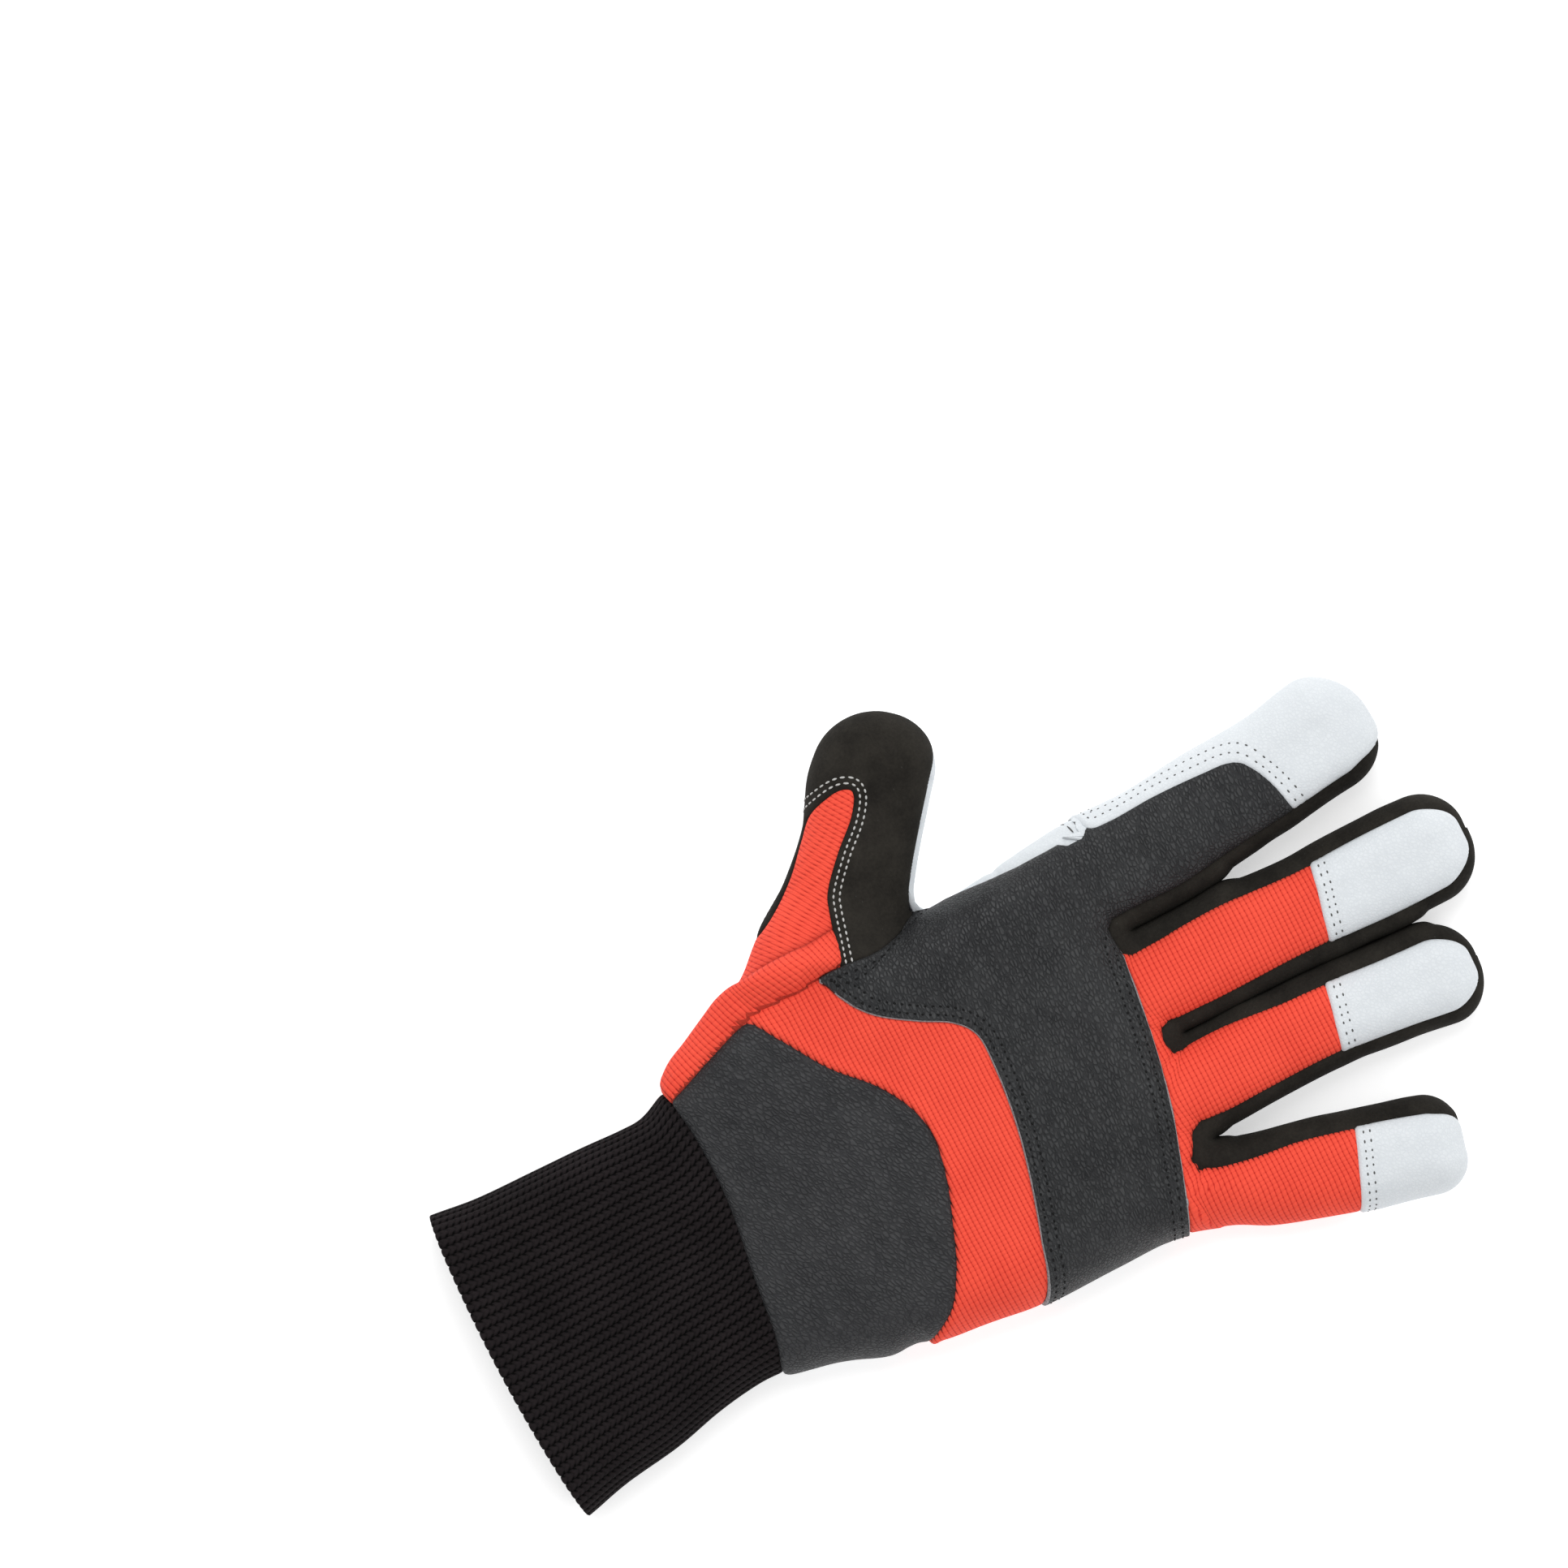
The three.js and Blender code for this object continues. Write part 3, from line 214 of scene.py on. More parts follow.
@dataclass
class Finger:
    """One finger: lengths in millimetres, its sides in shares of its width, seams as angles over the edge.

    A seam's angle goes from 0 on the back through 90 at the side to 180 below. Each pair says where the
    back sheet ends and where the palm sheet ends: thumb_seam on the finger's side towards the thumb,
    little_seam on the other side, tip_seam round the tip. web_turn is added to the back sheet's angle beside
    the web, on the thumb's side and on the other. Each row of sides holds a place along the finger and its
    half widths there.
    """

    name: str
    length: float
    width: float
    root: tuple[float, float]
    lean: float
    tip_round: float
    thumb_seam: tuple[float, float]
    little_seam: tuple[float, float]
    sides: list[tuple[float, float, float]]
    tip_seam: tuple[float, float] = (90.0, 90.0)
    web_turn: tuple[float, float] = (0.0, 0.0)

    def __post_init__(self) -> None:
        """Works out the finger's directions and the curves of its sides."""
        lean = math.radians(self.lean)
        self.axis = np.array([math.sin(lean), math.cos(lean)])
        self.side = np.array([math.cos(lean), -math.sin(lean)])
        self.left = SmoothCurve([row[0] for row in self.sides], [row[1] for row in self.sides])
        self.right = SmoothCurve([row[0] for row in self.sides], [row[2] for row in self.sides])

    def place(self, p: Array) -> tuple[Array, Array, Array]:
        """Where points lie on the finger.

        Args:
            p: Points of the flat sheet.

        Returns:
            How far along it, how far across from its middle, and its half width there.
        """
        away = p - np.asarray(self.root)
        along = away @ self.axis
        left = self.left(along / self.length) * self.width
        right = self.right(along / self.length) * self.width
        return along, away @ self.side - (right - left) / 2, (left + right) / 2

    def depth(self, p: Array) -> Array:
        """How deep points lie inside the finger's outline, seen from above."""
        along, across, half = self.place(p)
        round_ = self.tip_round * self.width
        beside = np.abs(across) - (half - round_)
        beyond = np.maximum(along - (self.length - round_), -0.45 * self.length - along)
        outside = np.hypot(np.maximum(beside, 0), np.maximum(beyond, 0))
        return round_ - outside - np.minimum(np.maximum(beside, beyond), 0)

    def point(self, across: float, along: float) -> Array:
        """A point given in shares of the finger's width and length from its root."""
        return np.asarray(self.root) + self.side * across * self.width + self.axis * along * self.length

    def tip(self) -> Array:
        """The middle of the fingertip."""
        return np.asarray(self.root) + self.axis * self.length


@dataclass
class Half:
    """The rolled edge of the back or of the palm at each point: its radius, height and sheet lengths."""

    roll: Array
    tall: Array
    near: Array
    far: float


class Side(Enum):
    """The two sides of the glove as it lies."""

    BACK = 1
    PALM = -1


@dataclass
class GloveForm:
    """The shape of the glove as it lies, in millimetres from the middle of its hem."""

    cuff_length: float = 66.0
    palm_length: float = 124.0
    palm_width: float = 104.0
    cuff_depth: float = 23.0
    palm_depth: float = 27.0
    finger_depth: float = 19.5
    thumb_depth: float = 20.5
    cuff_roll: float = 12.0
    palm_roll: float = 15.0
    finger_roll: float = 10.5
    thumb_roll: float = 11.5
    web_fillet: float = 2.4
    thumb_fillet: float = 7.0
    edge_stretch: float = 2.0
    wrap_reach: float = 6.0
    crotch_tight: float = 0.25
    patch_step: float = 0.7
    fold_height: float = 2.2
    fold_width: float = 10.0
    hem_middle: tuple[float, float] = (16.38, -142.19)

    def __post_init__(self) -> None:
        """Draws the tables' curves, the fingers and the seam lines."""
        self.crotch = np.array([-0.53 * self.palm_width, self.cuff_length + 0.69 * self.palm_length])
        self.waves = Waves(7)
        self._shape_hand()
        self._shape_fingers()
        self._draw_seams()

    def _shape_hand(self) -> None:
        """Fills the tables of the cuff, the palm and the webs."""
        rows = [
            ("cuff", 0.0, 0.43, 0.428, 0.0),
            ("cuff", 0.18, 0.413, 0.401, 0.0),
            ("cuff", 0.42, 0.406, 0.38, 0.0),
            ("cuff", 0.62, 0.401, 0.35, 0.1),
            ("cuff", 0.78, 0.394, 0.336, 0.2),
            ("cuff", 0.88, 0.396, 0.338, 0.28),
            ("cuff", 0.98, 0.426, 0.353, 0.35),
            ("palm", 0.11, 0.482, 0.394, 0.6),
            ("palm", 0.19, 0.529, 0.43, 0.79),
            ("palm", 0.25, 0.55, 0.434, 0.9),
            ("palm", 0.285, 0.55, 0.457, 0.93),
            ("palm", 0.4, 0.55, 0.477, 1.0),
            ("palm", 0.52, 0.535, 0.492, 1.0),
            ("palm", 0.7, 0.507, 0.494, 0.95),
            ("palm", 0.86, 0.526, 0.502, 0.7),
            ("palm", 1.0, 0.545, 0.55, 0.3),
            ("palm", 1.15, 0.55, 0.55, 0.0),
        ]
        at = [
            along * self.cuff_length if part == "cuff" else self.cuff_length + along * self.palm_length
            for part, along, _, _, _ in rows
        ]
        self.thumb_edge = SmoothCurve(at, [row[2] for row in rows])
        self.little_edge = SmoothCurve(at, [row[3] for row in rows])
        self.palm_share = SmoothCurve(at, [row[4] for row in rows])
        self.web_along = SmoothCurve([-0.6, -0.22, 0.05, 0.33, 0.6], [1.04, 1.047, 1.042, 0.992, 0.88])
        along = [0.0, 0.3, 0.5, 0.62, 0.74, 0.83, 0.9, 0.97, 1.055, 1.08, 1.09, 1.1, 2.0]
        back = [140.0, 140.0, 118.0, 90.0, 86.0, 57.0, 43.0, 35.0, 30.0, 52.0, 52.0, 52.0, 52.0]
        palm = [140.0, 140.0, 118.0, 90.0, 86.0, 57.0, 43.0, 35.0, 30.0, 30.0, 30.0, 104.0, 104.0]
        self.thumb_side_seam = (along, back, palm)
        self.little_side_seam = 138.0

    def _shape_fingers(self) -> None:
        """Fills the tables of the five fingers."""
        wrist = self.cuff_length

        def root(across: float, along: float) -> tuple[float, float]:
            """A finger's root, from shares of the palm's width and length."""
            return across * self.palm_width, wrist + along * self.palm_length

        self.fingers = {
            "index": Finger(
                "index", 88.5, 31.0, root(-0.388, 1.0), -3.3, 0.43, (104.0, 104.0), (38.0, 150.0),
                [(-0.3, 0.5, 0.5), (0.06, 0.53, 0.495), (0.26, 0.48, 0.535), (0.45, 0.495, 0.505),
                 (0.68, 0.485, 0.48), (0.86, 0.54, 0.455), (1.0, 0.49, 0.48)],
                (88.0, 100.0),
            ),
            "middle": Finger(
                "middle", 97.0, 28.5, root(-0.09, 1.0), 1.5, 0.42, (40.0, 150.0), (42.0, 150.0),
                [(-0.25, 0.49, 0.49), (0.1, 0.495, 0.478), (0.3, 0.523, 0.49), (0.52, 0.485, 0.497),
                 (0.75, 0.503, 0.525), (1.0, 0.49, 0.5)],
                (60.0, 118.0), (0.0, 8.0),
            ),
            "ring": Finger(
                "ring", 85.5, 26.4, root(0.185, 0.985), 3.2, 0.44, (40.0, 150.0), (42.0, 150.0),
                [(-0.25, 0.47, 0.47), (0.1, 0.485, 0.5), (0.26, 0.515, 0.462), (0.48, 0.54, 0.43),
                 (0.72, 0.505, 0.475), (0.9, 0.495, 0.53), (1.0, 0.475, 0.53)],
                (60.0, 118.0), (20.0, 0.0),
            ),
            "little": Finger(
                "little", 67.5, 27.2, root(0.443, 0.945), 15.7, 0.33, (36.0, 150.0), (138.0, 138.0),
                [(-0.3, 0.45, 0.3), (0.05, 0.455, 0.36), (0.2, 0.46, 0.44), (0.38, 0.48, 0.47),
                 (0.6, 0.485, 0.49), (0.78, 0.475, 0.475), (1.0, 0.44, 0.47)],
                (84.0, 106.0), (-6.0, 0.0),
            ),
            "thumb": Finger(
                "thumb", 69.5, 30.0, root(-0.5, 0.452), -49.0, 0.47, (128.0, 128.0), (63.0, 63.0),
                [(-0.5, 0.72, 0.6), (-0.16, 0.75, 0.6), (0.08, 0.7, 0.61), (0.3, 0.565, 0.57),
                 (0.5, 0.51, 0.535), (0.7, 0.565, 0.52), (0.85, 0.53, 0.515), (1.0, 0.475, 0.51)],
            ),
        }

    def _draw_seams(self) -> None:
        """Draws the seam lines, given in shares of the palm's width and of its length from the wrist."""
        lines = {
            "wrist_back": [
                (-0.7, 0.03), (-0.43, 0.02), (-0.385, 0.03), (-0.16, 0.038), (0.1, 0.007),
                (0.26, -0.014), (0.35, -0.036), (0.6, -0.05),
            ],
            "wrist_palm": [
                (-0.7, 0.03), (-0.43, 0.02), (-0.3, -0.01), (-0.12, -0.04), (0.1, -0.055),
                (0.26, -0.05), (0.35, -0.036), (0.6, -0.05),
            ],
            "wrist_patch": [
                (-0.36, -0.1), (-0.385, 0.03), (-0.43, 0.145), (-0.468, 0.244), (-0.466, 0.256),
                (-0.45, 0.268), (-0.4, 0.296), (-0.288, 0.355), (-0.185, 0.43), (-0.096, 0.47),
                (-0.016, 0.481), (0.096, 0.464), (0.209, 0.43), (0.305, 0.395), (0.368, 0.355),
                (0.425, 0.289), (0.5, 0.22), (0.66, 0.1),
            ],
            "knuckle_edge": [
                (-0.572, 0.758), (-0.556, 0.694), (-0.527, 0.655), (-0.51, 0.61), (-0.5, 0.56),
                (-0.5, 0.48), (-0.5, 0.428), (-0.491, 0.421), (-0.475, 0.43), (-0.416, 0.45), (-0.353, 0.49),
                (-0.288, 0.565), (-0.24, 0.631), (-0.192, 0.661), (-0.096, 0.663), (0.064, 0.645),
                (0.224, 0.611), (0.385, 0.565), (0.493, 0.524), (0.7, 0.45),
            ],
            "knuckle_top": [
                (-0.232, 1.25), (-0.232, 1.05), (-0.222, 1.022), (-0.19, 1.015), (-0.096, 1.005),
                (0.064, 0.981), (0.192, 0.957), (0.305, 0.926), (0.416, 0.894), (0.508, 0.865), (0.7, 0.8),
            ],
            # Beside the thumb's outer edge this line keeps just inside the outline, so a thin tapering sliver
            # of the black thumb back shows along the insert: a dark sheet standing for the shade along that
            # edge, painted shade.
            "thumb_knit": [
                (-1.0, 0.05), (-0.72, 0.15), (-0.66, 0.3), (-0.672, 0.357), (-0.756, 0.466),
                (-0.822, 0.523), (-0.872, 0.566), (-0.888, 0.605), (-0.892, 0.648), (-0.879, 0.671),
                (-0.862, 0.671), (-0.817, 0.645), (-0.753, 0.585), (-0.673, 0.524), (-0.638, 0.512),
                (-0.577, 0.497), (-0.497, 0.477), (-0.46, 0.466), (-0.35, 0.56), (-0.2, 0.75), (0.7, 0.75),
            ],
            "thumb_side": [
                (-0.592, 0.56), (-0.59, 0.47), (-0.575, 0.36), (-0.562, 0.27), (-0.59, 0.18),
                (-0.66, 0.06),
            ],
            "palm_top": [
                (-0.8, 1.085), (-0.65, 1.085), (-0.57, 1.07), (-0.5, 1.025), (-0.4, 1.0), (-0.24, 0.976),
                (-0.05, 0.957), (0.157, 0.936), (0.327, 0.895), (0.51, 0.85), (0.7, 0.8),
            ],
            "thumb_seam": [
                (-0.572, 0.758), (-0.556, 0.694), (-0.525, 0.655), (-0.48, 0.632), (-0.43, 0.61),
                (-0.385, 0.565), (-0.362, 0.51), (-0.349, 0.43), (-0.342, 0.32), (-0.334, 0.19),
                (-0.33, 0.1), (-0.334, -0.12),
            ],
            "fold": [(-0.545, 0.5), (-0.545, 0.36), (-0.525, 0.24), (-0.47, 0.12), (-0.425, 0.0)],
            "crease": [
                (-0.505, 0.5), (-0.497, 0.4), (-0.49, 0.33), (-0.478, 0.256), (-0.43, 0.145), (-0.385, 0.03),
                (-0.36, -0.1),
            ],
        }
        self.seams = {}
        for name, row in lines.items():
            self.seams[name] = SeamLine(np.array([self.palm_point(*p) for p in row]))
        index = self.fingers["index"]
        edge = [
            (-0.9, 0.1), (-0.5, 0.1), (-0.35, 0.115), (-0.315, 0.17), (-0.297, 0.33), (-0.262, 0.48),
            (-0.225, 0.57), (-0.17, 0.605), (0.0, 0.635), (0.33, 0.66), (0.9, 0.68),
        ]
        self.seams["index_edge"] = SeamLine(np.array([index.point(*p) for p in edge]))
        for name, at, slant in (("middle", 0.555, -0.24), ("ring", 0.52, -0.2), ("little", 0.58, -0.13)):
            finger = self.fingers[name]
            shares = np.linspace(-0.8, 0.8, 5)
            rise = slant * finger.width / finger.length
            self.seams[name + "_tip"] = SeamLine(np.array([finger.point(s, at + rise * s) for s in shares]))

    def palm_point(self, across: float, along: float) -> Array:
        """A point given in shares of the palm's width, and of its length from the wrist."""
        return np.array([across * self.palm_width, self.cuff_length + along * self.palm_length])

    def hand_parts(self, p: Array) -> tuple[Array, Array, Array]:
        """How far points lie from the hand's two sides and from the webs."""
        left = p[:, 0] + self.thumb_edge(p[:, 1]) * self.palm_width
        right = self.little_edge(p[:, 1]) * self.palm_width - p[:, 0]
        top = self.cuff_length + self.web_along(p[:, 0] / self.palm_width) * self.palm_length - p[:, 1]
        return left, right, top

    def hand_depth(self, p: Array) -> Array:
        """How deep points lie inside the outline of the cuff and the palm."""
        left, right, top = self.hand_parts(p)
        y = p[:, 1]
        left_slope = (self.thumb_edge(y + 1) - self.thumb_edge(y - 1)) * self.palm_width / 2
        right_slope = (self.little_edge(y + 1) - self.little_edge(y - 1)) * self.palm_width / 2
        sides = np.minimum(left / np.hypot(1, left_slope), right / np.hypot(1, right_slope))
        return np.minimum(sides, top)

    def depth(self, p: Array) -> Array:
        """How deep points lie inside the whole outline, with the webs rounded."""

        def rounded(a: Array, b: Array, fillet: float, more: float = 0.0) -> Array:
            """The larger of two depths, rounded where they cross, and more so deeper in."""
            wide = fillet + more * np.maximum(np.minimum(a, b), 0)
            near = np.maximum(wide - np.abs(a - b), 0) / wide
            return np.maximum(a, b) + near * near * wide / 4

        others = [finger.depth(p) for name, finger in self.fingers.items() if name != "thumb"]
        hand = rounded(self.hand_depth(p), np.max(others, axis=0), self.web_fillet, 0.8)
        return rounded(hand, self.fingers["thumb"].depth(p), self.thumb_fillet)

    def inward(self, p: Array) -> Array:
        """The way into the glove from its outline, as unit vectors."""
        step = 0.2
        count = len(p)
        shifts = np.array([[step, 0], [-step, 0], [0, step], [0, -step]])
        found = self.depth((p[None] + shifts[:, None]).reshape(-1, 2)).reshape(4, count)
        way = np.stack([found[0] - found[1], found[2] - found[3]], 1)
        return way / np.maximum(np.linalg.norm(way, axis=1), 1e-9)[:, None]

    def blend(self, p: Array, finger: float, palm: float, thumb: float, cuff: float) -> Array:
        """A measure at each point, blended between the parts of the glove where they join."""
        width = self.palm_width
        root = self.fingers["thumb"]
        along = (p - np.asarray(root.root)) @ root.axis
        is_thumb = smoothstep(along, 0, 0.4 * root.length) * smoothstep(-p[:, 0], 0.45 * width, 0.55 * width)
        is_palm = self.palm_share(p[:, 1]) * (1 - is_thumb)
        is_cuff = smoothstep(-p[:, 1], -self.cuff_length - 8, -0.8 * self.cuff_length)
        return lerp(lerp(lerp(finger, palm, is_palm), thumb, is_thumb), cuff, is_cuff)

    def under_patch(self, p: Array) -> Array:
        """Where the quilted patch is on the palm, softened."""
        top = self.cuff_length + self.palm_length
        along = smoothstep(p[:, 1], self.cuff_length - 8, self.cuff_length + 8)
        along = along * (1 - smoothstep(p[:, 1], top - 14, top + 8))
        return along * smoothstep(p[:, 0], -0.42 * self.palm_width, -0.28 * self.palm_width)

    def halves(self, p: Array) -> tuple[Array, Half, Half]:
        """The form under points: the height of its widest line, and how the back and the palm roll over."""
        thick = self.blend(p, self.finger_depth, self.palm_depth, self.thumb_depth, self.cuff_depth)
        roll = self.blend(p, self.finger_roll, self.palm_roll, self.thumb_roll, self.cuff_roll)
        near = smoothstep(np.linalg.norm(p - self.crotch, axis=1), 5, 20)
        stretch = self.edge_stretch * lerp(self.crotch_tight, 1, near)
        widest = 0.43 * thick
        back = Half(roll, thick - widest, roll + stretch, self.wrap_reach)
        low = widest - self.patch_step * self.under_patch(p)
        return widest, back, Half(0.7 * roll, low, 0.7 * roll + stretch, self.wrap_reach)

    def seam_angles(self, p: Array, wrapped: bool = False) -> Array:
        """The angles at which the back sheet and the palm sheet end over the edge beside points.

        Args:
            p: Points of the plan, inside the outline.
            wrapped: Whether the sheet wraps the index finger's outer side.

        Returns:
            Two angles for each point.
        """
        along_palm = (p[:, 1] - self.cuff_length) / self.palm_length
        at, back, palm = self.thumb_side_seam
        low = np.stack([np.interp(along_palm, at, back), np.interp(along_palm, at, palm)], 1)
        if wrapped:
            low = np.full_like(low, 104.0)
        left, right, top = self.hand_parts(p)
        side = np.where((left < right)[:, None], low, self.little_side_seam)
        between = (p[:, 0] > -0.36 * self.palm_width) & (p[:, 0] < 0.43 * self.palm_width)
        web = (top < np.minimum(left, right)) & between
        depths = [self.hand_depth(p)]
        angles = [np.where(web[:, None], (38.0, 150.0), side)]
        for name, finger in self.fingers.items():
            along, across, half = finger.place(p)
            part = along / finger.length
            thumbward = (across < 0)[:, None]
            full = np.where(thumbward, finger.thumb_seam, finger.little_seam)
            turn = np.where(across < 0, finger.web_turn[0], finger.web_turn[1])
            full[:, 0] = full[:, 0] + turn * (1 - smoothstep(part, 0.12, 0.45))
            if name == "index":
                full = np.where(thumbward, low, full)
            if name == "thumb":
                share = smoothstep(part, 0.15, 0.4) * (1 - smoothstep(part, 0.8, 0.95))
                full = np.where(thumbward, full, lerp(92.0, full, share[:, None]))
            straight = along < 0.7 * finger.length
            share = np.where(straight, 1.0, smoothstep(np.abs(across) / half, 0.2, 0.85))[:, None]
            depths.append(finger.depth(p))
            angles.append(lerp(np.asarray(finger.tip_seam), full, share))
        depth = np.stack(depths)
        weight = np.exp((depth - depth.max(axis=0)) / 1.2)
        weight = (weight / weight.sum(axis=0))[:, :, None]
        return (np.stack(angles) * weight).sum(axis=0)

    def outline_room(self, p: Array, side: Side, wrapped: bool = False) -> Array:
        """How far points of a flat sheet lie inside its edge, where it is sewn to the other side.

        Args:
            p: Points of the flat sheet.
            side: Which side of the glove the sheet covers.
            wrapped: Whether the sheet wraps the index finger's outer side.

        Returns:
            One distance for each point.
        """
        _, back, palm = self.halves(p)
        beside = p + self.inward(p) * (2 - self.depth(p))[:, None]
        angles = self.seam_angles(beside, wrapped)
        own, other = (back, palm) if side is Side.BACK else (palm, back)
        angle = angles[:, 0] if side is Side.BACK else 180 - angles[:, 1]
        near = own.near * angle / 90
        far = own.near + other.far * (angle - 90) / 90
        return self.depth(p) - own.roll + np.where(angle <= 90, near, far)

    def fold(self, p: Array) -> Array:
        """The raised roll of loose knit from the thumb's root to the cuff, with the crease beside it."""
        away = self.seams["fold"].measure(p)[0] / (self.fold_width / 2)
        along = (p[:, 1] - self.cuff_length) / self.palm_length
        ends = smoothstep(along, -0.02, 0.1) * (1 - smoothstep(along, 0.42, 0.52))
        return self.fold_height * ends * (1.25 * np.exp(-away * away * 1.6) - 0.25)

    def laid(self, p: Array, side: Side, lift: Array) -> Array:
        """Points of a flat sheet laid on the form.

        Args:
            p: Points of the flat sheet.
            side: Which side of the glove the sheet covers.
            lift: How far each point stands off the form.

        Returns:
            Points in space, in millimetres.
        """
        widest, back, palm = self.halves(p)
        own, other = (back, palm) if side is Side.BACK else (palm, back)
        raised = lift + self.fold(p) if side is Side.BACK else lift
        deep = self.depth(p)
        over = np.maximum(own.roll - deep, 0.0)
        first = over <= own.near
        angle = math.pi / 2 * np.where(first, over / own.near, 1 + (over - own.near) / other.far)
        roll = np.where(first, own.roll, other.roll)
        tall = np.where(first, own.tall, other.tall)
        x, y = np.sin(angle) / roll, np.cos(angle) / tall
        size = np.hypot(x, y)
        move = np.where(over <= 0, 0.0, roll * (1 - np.sin(angle)) - deep - raised * x / size)
        z = widest + side.value * (tall * np.cos(angle) + raised * y / size)
        flat = p + self.inward(p) * move[:, None]
        return np.column_stack([flat, z])

    def seen(self, p: Array) -> Array:
        """Where points of the back's flat sheet are seen from above, and past the edge how far they go on."""
        _, back, _ = self.halves(p)
        deep = self.depth(p)
        over = np.maximum(back.roll - deep, 0.0)
        turn = np.minimum(over / back.near, 1.0) * math.pi / 2
        shown = back.roll * (1 - np.sin(turn)) - np.maximum(over - back.near, 0.0)
        return p + self.inward(p) * np.where(over <= 0, 0.0, shown - deep)[:, None]

    def unseen(self, path: Array) -> Array:
        """The points of the back's flat sheet that are seen at given places."""
        flat = path.copy()
        for _ in range(12):
            flat = flat + path - self.seen(flat)
        return flat

    def on_edge(self, at: Array, into: Array, angle: Array, lift: Array) -> Array:
        """Points on the edge of the glove, at angles over it.

        Args:
            at: Points of the outline.
            into: The way in from each.
            angle: Angles over the edge, in degrees.
            lift: How far each point stands off the form.

        Returns:
            Points in space, in millimetres.
        """
        widest, back, palm = self.halves(at)
        turn = np.radians(angle)
        roll = np.where(angle <= 90, back.roll, palm.roll)
        tall = np.where(angle <= 90, back.tall, palm.tall)
        x, y = np.sin(turn) / roll, np.cos(turn) / tall
        size = np.hypot(x, y)
        move = roll * (1 - np.sin(turn)) - lift * x / size
        z = widest + tall * np.cos(turn) + lift * y / size
        return np.column_stack([at + into * move[:, None], z])

    def follow_outline(self, start: Array, end: Array, step: float) -> tuple[Array, Array]:
        """Follows the outline with the glove on its right.

        Args:
            start: Where it begins.
            end: Where it ends.
            step: The distance between its points.

        Returns:
            Points of the outline, and the way in from each.
        """

        def settle(p: Array, turns: int) -> Array:
            """Moves a point onto the outline."""
            for _ in range(turns):
                p = p - self.inward(p) * self.depth(p)[:, None]
            return p

        p = settle(start[None].astype(float), 4)
        stop = settle(end[None].astype(float), 4)
        found = [p]
        for _ in range(2500):
            if np.linalg.norm(p - stop) < step:
                break
            into = self.inward(p)
            p = settle(p - np.stack([into[:, 1], -into[:, 0]], 1) * step, 2)
            found.append(p)
        found.append(stop)
        points = np.concatenate(found)
        return points, self.inward(points)

    def metres(self, p: Array) -> Array:
        """Points of the plan in millimetres, moved to the frame and given in metres."""
        return (p + np.array([*self.hem_middle, 0.0])) / 1000


# Meshes


def clear_selection() -> None:
    """Leaves object mode with nothing selected."""
    for thing in bpy.context.selected_objects:
        thing.select_set(False)
    bpy.context.view_layer.objects.active = None


def make_object(
    name: str,
    points: Array,
    faces: list[Array],
    materials: list[bpy.types.Material],
    slots: Array | None = None,
    cloth: Array | None = None,
    values: dict[str, Array] | None = None,
) -> bpy.types.Object:
    """Makes an object of a mesh in the glove's frame.

    Args:
        name: The object's name.
        points: Its points, in metres.
        faces: Arrays of corner numbers, triangles or quads.
        materials: Its materials.
        slots: The number of each face's material.
        cloth: Each point's place on its flat cloth, in metres, kept as the UV map.
        values: Named numbers for each point.

    Returns:
        The object.
    """
    mesh = bpy.data.meshes.new(name)
    flat = [face for block in faces for face in block.tolist()]
    mesh.from_pydata(points.tolist(), [], flat)
    for material in materials:
        mesh.materials.append(material)
    if slots is not None:
        mesh.polygons.foreach_set("material_index", slots.astype(np.int32))
    if cloth is not None:
        corners = np.concatenate([block.reshape(-1) for block in faces])
        layer = mesh.uv_layers.new(name="cloth")
        layer.data.foreach_set("uv", cloth[corners].astype(np.float32).ravel())
    for label, numbers in (values or {}).items():
        attribute = mesh.attributes.new(label, "FLOAT", "POINT")
        attribute.data.foreach_set("value", numbers.astype(np.float32))
    mesh.validate()
    mesh.update()
    thing = bpy.data.objects.new(name, mesh)
    bpy.context.scene.collection.objects.link(thing)
    clear_selection()
    thing.select_set(True)
    bpy.context.view_layer.objects.active = thing
    bpy.ops.object.shade_smooth_by_angle(angle=math.radians(55))
    clear_selection()
    return thing


class Edge(Enum):
    """How a piece ends at a seam."""

    SEWN = "sewn to its neighbour from inside"
    RAW = "a cut edge on top of its neighbour"
    TURNED = "a turned edge on top of its neighbour"
    UNDER = "tucked under its neighbour"
    PUFFED = "swells beside a patch that is sewn down"
    CUFF = "sewn to the cuff"


@dataclass(frozen=True)
class EdgeShape:
    """The section of an edge, in millimetres: how far it grows past the seam, and its two rim rows."""

    grow: float
    out: tuple[float, float]
    down: tuple[float, float]


EDGE_SHAPES = {
    Edge.SEWN: EdgeShape(0.3, (0.05, 0.05), (0.3, 0.7)),
    Edge.RAW: EdgeShape(-0.4, (0.16, 0.42), (0.12, 0.85)),
    Edge.TURNED: EdgeShape(0.0, (0.14, 0.14), (0.2, 0.7)),
    Edge.UNDER: EdgeShape(1.3, (0.05, 0.05), (0.3, 0.7)),
    Edge.PUFFED: EdgeShape(0.25, (0.05, 0.05), (0.3, 0.7)),
    Edge.CUFF: EdgeShape(0.0, (0.1, 0.0), (0.4, 0.9)),
}


